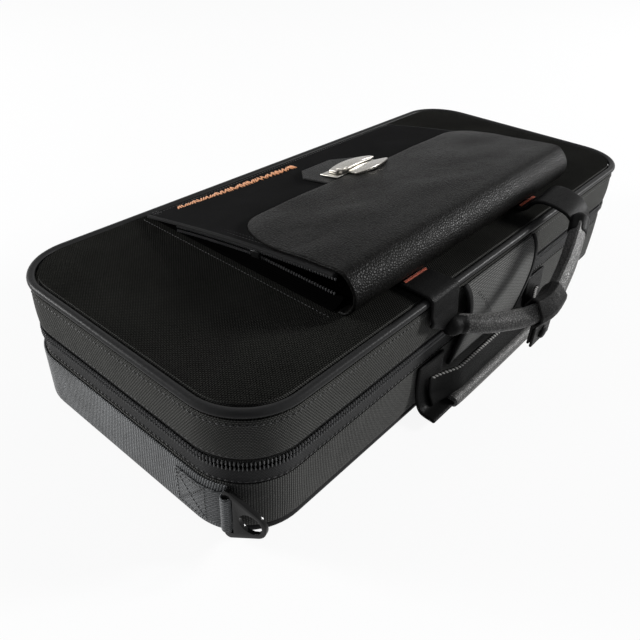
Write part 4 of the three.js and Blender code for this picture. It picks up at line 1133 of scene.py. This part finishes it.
def tab(name, side, table, foot):
    """A flat leather tab on its line, twisted where the hinge line slopes."""
    middle = side * TAB_MIDDLE
    xs = edged(middle - TAB_WIDTH / 2, middle + TAB_WIDTH / 2, 1.6, TAB_THICK / 2)

    def line_at(x):
        points = [(SIDE_Y - out, foot + up + twist * TILT * (x - middle)) for out, up, twist in table]
        return smooth_line(points, 46)

    return ribbon(name, xs, line_at, TAB_THICK, TAB_LEATHER, wave=0.25, sharp=60)


left_tab = tab("upper_tab_left", -1, LEFT_TAB, LID_FOOT)
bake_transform(left_tab)
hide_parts("upper_tab_root_left")
right_tab = tab("upper_tab_right", 1, RIGHT_TAB, LID_FOOT)
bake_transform(right_tab)
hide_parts("upper_tab_root_right")


def handle_line(table, count):
    """A curve through points of X, outwards from the side and upwards from the lid."""
    return smooth_line([(x, SIDE_Y - out, LID_FOOT + up) for x, out, up in table], count)


GRIP_RADIUS, GRIP_SWELL = 5.6, 0.9
LOW_RADIUS, LOW_SWELL = 4.5, 0.7
WELT_HEIGHT, WELT_DEGREES = 3.0, 15
COLLAR_RADIUS, COLLAR_LIP = 7.1, 0.4


def swell(share):
    return max(0, math.sin(math.pi * share)) ** 0.35


def welt(share, degrees):
    """The sewn seam stands up along the top of the grip."""
    return WELT_HEIGHT * swell(share) * math.exp(-(degrees / WELT_DEGREES) ** 2)


grip_line = handle_line([
    (-69.5, 7.4, -28), (-64.8, 8.6, -28.2), (-52.5, 19, -30.4), (-36.3, 29.2, -31.4), (-22.1, 36.9, -31.4),
    (-5.5, 42.3, -29), (7.5, 42, -24.7), (20.4, 40.1, -19.5), (35.7, 37.2, -12.6), (59.3, 30.7, -0.8),
    (70, 27, 4.5),
], 110)
grip_roll = tube("grip_roll", grip_line, lambda share: GRIP_RADIUS + GRIP_SWELL * swell(share), GRIP_LEATHER,
                 32, welt)
seat(grip_roll, "grip", "leather", "upper_handle")


def collar_radius(share):
    """Round at the collar's closed end, straight over the grip, thin at its lip."""
    closing = math.sqrt(1 - (1 - min(share / 0.4, 1)) ** 2)
    return max(COLLAR_RADIUS * closing, COLLAR_LIP) - COLLAR_LIP * smoothstep(0.92, 1, share)


COLLARS = {
    "near": [(-77, 6, -27), (-69.5, 7.4, -28), (-64.8, 8.6, -28.2), (-60.5, 12, -29)],
    "far": [(77, 25, 7.5), (70, 27, 4.5), (65, 28.8, 2), (60.5, 30.3, -0.2)],
}
for where, table in COLLARS.items():
    collar = tube(f"grip_collar_{where}", handle_line(table, 24), collar_radius, TAB_LEATHER)
    seat(collar, "grip", "leather")
for name, middle in (("left", -TAB_MIDDLE), ("right", TAB_MIDDLE)):
    tack_xs = np.linspace(middle - 12, middle + 12, 10)
    tack_line = columns(tack_xs, SIDE_Y + 21 - 1.2, LID_FOOT + 1.6 + TAB_THICK / 2 + 0.35)
    tack = beads(f"tack_{name}", [row(tack_line, heading=(0.25, 1, 0))], TACK_STITCH, 23)
    seat(tack, "lid", "thread", f"bar_tack_{name}")

for side, name in ((-1, "left"), (1, "right")):
    lower = tab(f"lower_tab_{name}", side, LOWER_TAB, 0)
    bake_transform(lower)
    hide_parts(f"lower_tab_root_{name}")

LOWER_OUT, LOWER_UP = 17.6, 5.6
low_line = columns(np.linspace(-68.4, 68.4, 60), SIDE_Y - LOWER_OUT, LOWER_UP)
low_roll = tube("low_roll", low_line, lambda share: LOW_RADIUS + LOW_SWELL * swell(share), GRIP_LEATHER)
seat(low_roll, "low_grip", "leather", "lower_handle")


def flange_line(x):
    """The flange stands on the roll; at its ends it turns in to lie on the tabs."""
    heights = np.linspace(8, 27.5, 14)
    outs = np.interp(heights, (8, 27.5), (16.6, 12.6))
    on_tab = np.interp(heights, (8, 15, 27.5), (10.2, 6.6, 5.2))
    turn = smoothstep(54, 82, abs(x))
    return columns(SIDE_Y - (outs + (on_tab - outs) * turn), heights)


seat(ribbon("low_flange", edged(-84, 84, 3, 1), flange_line, 2.4, TAB_LEATHER, 0.3), "low_grip", "leather")
whip_line = [(x, *(flange_line(x)[-1] + (-0.75, 0.65))) for x in np.linspace(-80, 80, 60)]
whip_row = row(whip_line, (0, -0.7, 0.7), (0.75, -0.5, -0.5))
seat(beads("flange_stitches", [whip_row], WHIP_STITCH, 25), "low_grip", "thread")

seat(softened("wrap_sleeve", "wrap_skin", WRAP_LEATHER, 0.7, 3), "grip", "leather", "wrap_sleeve")
tail_low, tail_high = (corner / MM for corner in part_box("wrap_tail"))
tail_heights = np.linspace(tail_high.z - 1, tail_low.z + 1, 14)
tail_xs = edged(tail_low.x, tail_high.x, 2, 1)
tail_skin = ribbon("tail_skin", tail_xs, lambda x: columns((tail_low.y + tail_high.y) / 2, tail_heights), 2.0,
                   WRAP_LEATHER, 0.2)
seat(tail_skin, "tail", "leather", "wrap_tail")

# The cap's dome: shares of its radius, and how far they stand out
CAP_PROFILE = [(0.98, 0), (1, 0.35), (0.98, 0.9), (0.86, 1.5), (0.6, 1.95), (0.3, 2.15), (0.04, 2.2)]
cap_low, cap_high = (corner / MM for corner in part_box("snap_cap"))
cap_middle = (cap_low + cap_high) / 2
cap_turns = np.linspace(0, 2 * math.pi, 24, endpoint=False)
cap_rings = []
for share, rise in CAP_PROFILE:
    radius = (cap_high.x - cap_low.x) / 2 * share
    cap_rings.append(columns(cap_middle.x + radius * np.cos(cap_turns), cap_high.y - rise,
                             cap_middle.z + radius * np.sin(cap_turns)))
seat(loft("snap_dome", cap_rings, TAB_LEATHER), "tail", "leather", "snap_cap")


# Cover panel over the zip

COVER_HALF = 51
COVER_TOP, COVER_LOW = 87.5, 21
NEAR_BULGE, FAR_BULGE = 8, 6


def cover_line(x, proud=0.0):
    bulge = NEAR_BULGE + (FAR_BULGE - NEAR_BULGE) * (x + COVER_HALF) / (2 * COVER_HALF)
    shares = np.linspace(0.01, 0.99, 26)
    out = SEAT + 0.8 + proud + bulge * np.sin(np.pi * shares ** 0.62)
    return columns(SIDE_Y - out, COVER_TOP + (COVER_LOW - COVER_TOP) * shares)


cover_cloth = ribbon("cover_cloth", edged(-COVER_HALF, COVER_HALF, 3, 0.8), cover_line, 1.6, COVER_NYLON, 0.5)
seat(cover_cloth, "lid", "nylon", "cover_panel")
for where, side in ENDS:
    edge = side * (COVER_HALF - 0.5)
    binding = ribbon(f"cover_binding_{where}", edged(edge - 2.8, edge + 2.8, 1.4, 0.8),
                     lambda x: cover_line(x, 0.3), 2.8, SHADED_TAPE)
    seat(binding, "lid", "smooth_nylon")
cover_rows = []
for offset in (0, 2.2):
    xs = np.linspace(-40 + offset, 8 + offset, 30)
    picks = [cover_line(x, 0.9)[int(round(3 + 20 * i / 29))] for i, x in enumerate(xs)]
    cover_rows.append(row(columns(xs, *np.transpose(picks)), (0, -1, 0.1)))
seat(beads("cover_stitches", cover_rows, COVER_STITCH, 27), "lid", "thread")


# Webbing and strap rings

RING_TURN = math.radians(30)
BAND_LOW, BAND_HIGH = 3.4, 40.4
BAND_OUT = 0.5
BAND_THICK = 1.4


def band_run():
    """From one ring round the back to the other, as stations of the outline."""
    ends = []
    for side, start in ((1, 2 * math.pi - RING_TURN), (-1, math.pi)):
        turns = np.linspace(start, start + RING_TURN, 10)
        middle = np.array((side * (HALF_LENGTH - CORNER), CORNER - HALF_WIDTH))
        out = columns(np.cos(turns), np.sin(turns))
        ends.append((middle + CORNER * out, out))
    keep = [i for i in range(len(RIM)) if RIM[i, 1] > -HALF_WIDTH + CORNER + 0.1]
    cut = int(np.argmax(np.diff(keep) > 1)) + 1 if np.any(np.diff(keep) > 1) else 0
    order = keep[cut:] + keep[:cut]
    (first, first_out), (last, last_out) = ends
    return np.vstack([first, RIM[order], last]), np.vstack([first_out, RIM_OUT[order], last_out])


band = band_section(BAND_OUT, BAND_THICK, BAND_LOW, BAND_HIGH, 24)
seat(sweep("webbing_strap", band_run(), band, WEBBING), "base", "webbing", "webbing_band")

LOOP_INNER = math.hypot(1.4, 1.3) + SEAT
LOOP_HALF = 13.5
LOOP_MIDDLE = 21.9
LAP_OUT = 2.7
BOX_FRONT, BOX_BACK = -79, -57
BOX_LOW, BOX_HIGH = 10, 34
BOX_CORNERS = [(BOX_FRONT, BOX_LOW), (BOX_FRONT, BOX_HIGH), (BOX_BACK, BOX_HIGH), (BOX_BACK, BOX_LOW)]


def on_circle(middle, radius, turns):
    return [middle + radius * np.array((math.cos(turn), math.sin(turn))) for turn in turns]


for where, side in ENDS:
    middle = np.array((side * (HALF_LENGTH - CORNER), CORNER - HALF_WIDTH))
    angle = math.pi + RING_TURN if side < 0 else 2 * math.pi - RING_TURN
    bar = on_circle(middle, CORNER + BAND_OUT + LOOP_INNER + BAND_THICK, [angle])[0]
    turns = np.linspace(angle + math.pi, angle + math.pi + side * math.radians(-300), 26)
    back = np.linspace(angle - side * math.radians(-7), angle - side * math.radians(-29), 6)
    straight = [(side * (HALF_LENGTH + LAP_OUT), y) for y in np.linspace(-68, -56, 5)]
    loop_line = smooth_line(on_circle(bar, LOOP_INNER + BAND_THICK / 2, turns)
                            + on_circle(middle, CORNER + LAP_OUT, back) + straight, 60)
    rings = []
    for z in edged(-LOOP_HALF, LOOP_HALF, 2, 0.7):
        fade = edge_fade(LOOP_HALF - abs(z), 0.7)
        skin = strip_outline(loop_line, (BAND_THICK - 0.1) * fade)
        rings.append(columns(*skin.T, LOOP_MIDDLE + z))
    seat(loft(f"ring_loop_{where}", rings, WEBBING, sharp=60), "base", "webbing")
    box_rows = []
    for start, end in ((0, 1), (1, 2), (2, 3), (3, 0), (0, 2), (1, 3)):
        ys, zs = np.linspace(BOX_CORNERS[start], BOX_CORNERS[end], 14).T
        xs = side * (HALF_LENGTH + 3.45 - np.maximum(0, -70 - ys) ** 2 / (2 * CORNER))
        box_rows.append(row(columns(xs, ys, zs), (side, 0, 0)))
    seat(beads(f"box_stitches_{where}", box_rows, BOX_STITCH, 31), "base", "thread")
    seat(bevelled(f"strap_ring_{where}", f"ring_{where}_moulding", GLOSS, 0.7, 4), f"ring_{where}",
         "ring_plastic", f"strap_ring_{where}")


# Camera, stage and lamps

FLOOR_GLOW = 0.91
FLOOR_REACH = 4
SKY_LEVEL = 0.2

place_camera()
scene = bpy.context.scene
scene.view_settings.view_transform = "Standard"


def make_stage():
    """A pale floor that keeps the shadow but shows nearly white to the camera, and a white surround."""
    mesh = bpy.data.meshes.new("floor")
    corners = [(x * FLOOR_REACH, y * FLOOR_REACH, 0) for x, y in ((-1, -1), (1, -1), (1, 1), (-1, 1))]
    mesh.from_pydata(corners, [], [(0, 1, 2, 3)])
    floor = bpy.data.objects.new("floor", mesh)
    scene.collection.objects.link(floor)
    paint = Finish("floor_paint", Roughness=0.9, Specular_IOR_Level=0.0)
    paint.set(Base_Color=paint.mix(paint.noise(5, 2), tone(0.82), tone(0.86)))
    lit = Sock(paint, paint.shader.outputs[0])
    glow = paint.node("ShaderNodeEmission", {}, {"Color": tone(1), "Strength": 1.0})
    shown = paint.node("ShaderNodeMixShader", {}, {0: paint.sees_backdrop() * FLOOR_GLOW, 1: lit, 2: glow})
    paint.feed(paint.tree.nodes["Material Output"].inputs["Surface"], shown)
    mesh.materials.append(paint.material)

    scene.world = bpy.data.worlds.new("surround")
    scene.world.use_nodes = True
    sky = Nodes(scene.world.node_tree)
    plain = sky.tree.nodes["Background"]
    sky.feed(plain.inputs["Color"], tone(0.9, 0.93, 1.0))
    sky.feed(plain.inputs["Strength"], SKY_LEVEL)
    white = sky.node("ShaderNodeBackground", {}, {"Color": tone(1), "Strength": 1.0})
    lit = Sock(sky, plain.outputs[0])
    shown = sky.node("ShaderNodeMixShader", {}, {0: sky.sees_backdrop(), 1: lit, 2: white})
    sky.feed(sky.tree.nodes["World Output"].inputs["Surface"], shown)


make_stage()
area_lamp("key", (2.0, -1.45, 0.95), (0, -0.06, 0.06), (0.5, 0.5), 95)
area_lamp("left", (-1.25, 1.75, 0.55), (-0.24, 0, 0.04), (0.6, 0.6), 62)
area_lamp("top_fill", (-0.4, 0.8, 1.6), (0, 0, 0.05), (1.0, 0.8), 2)
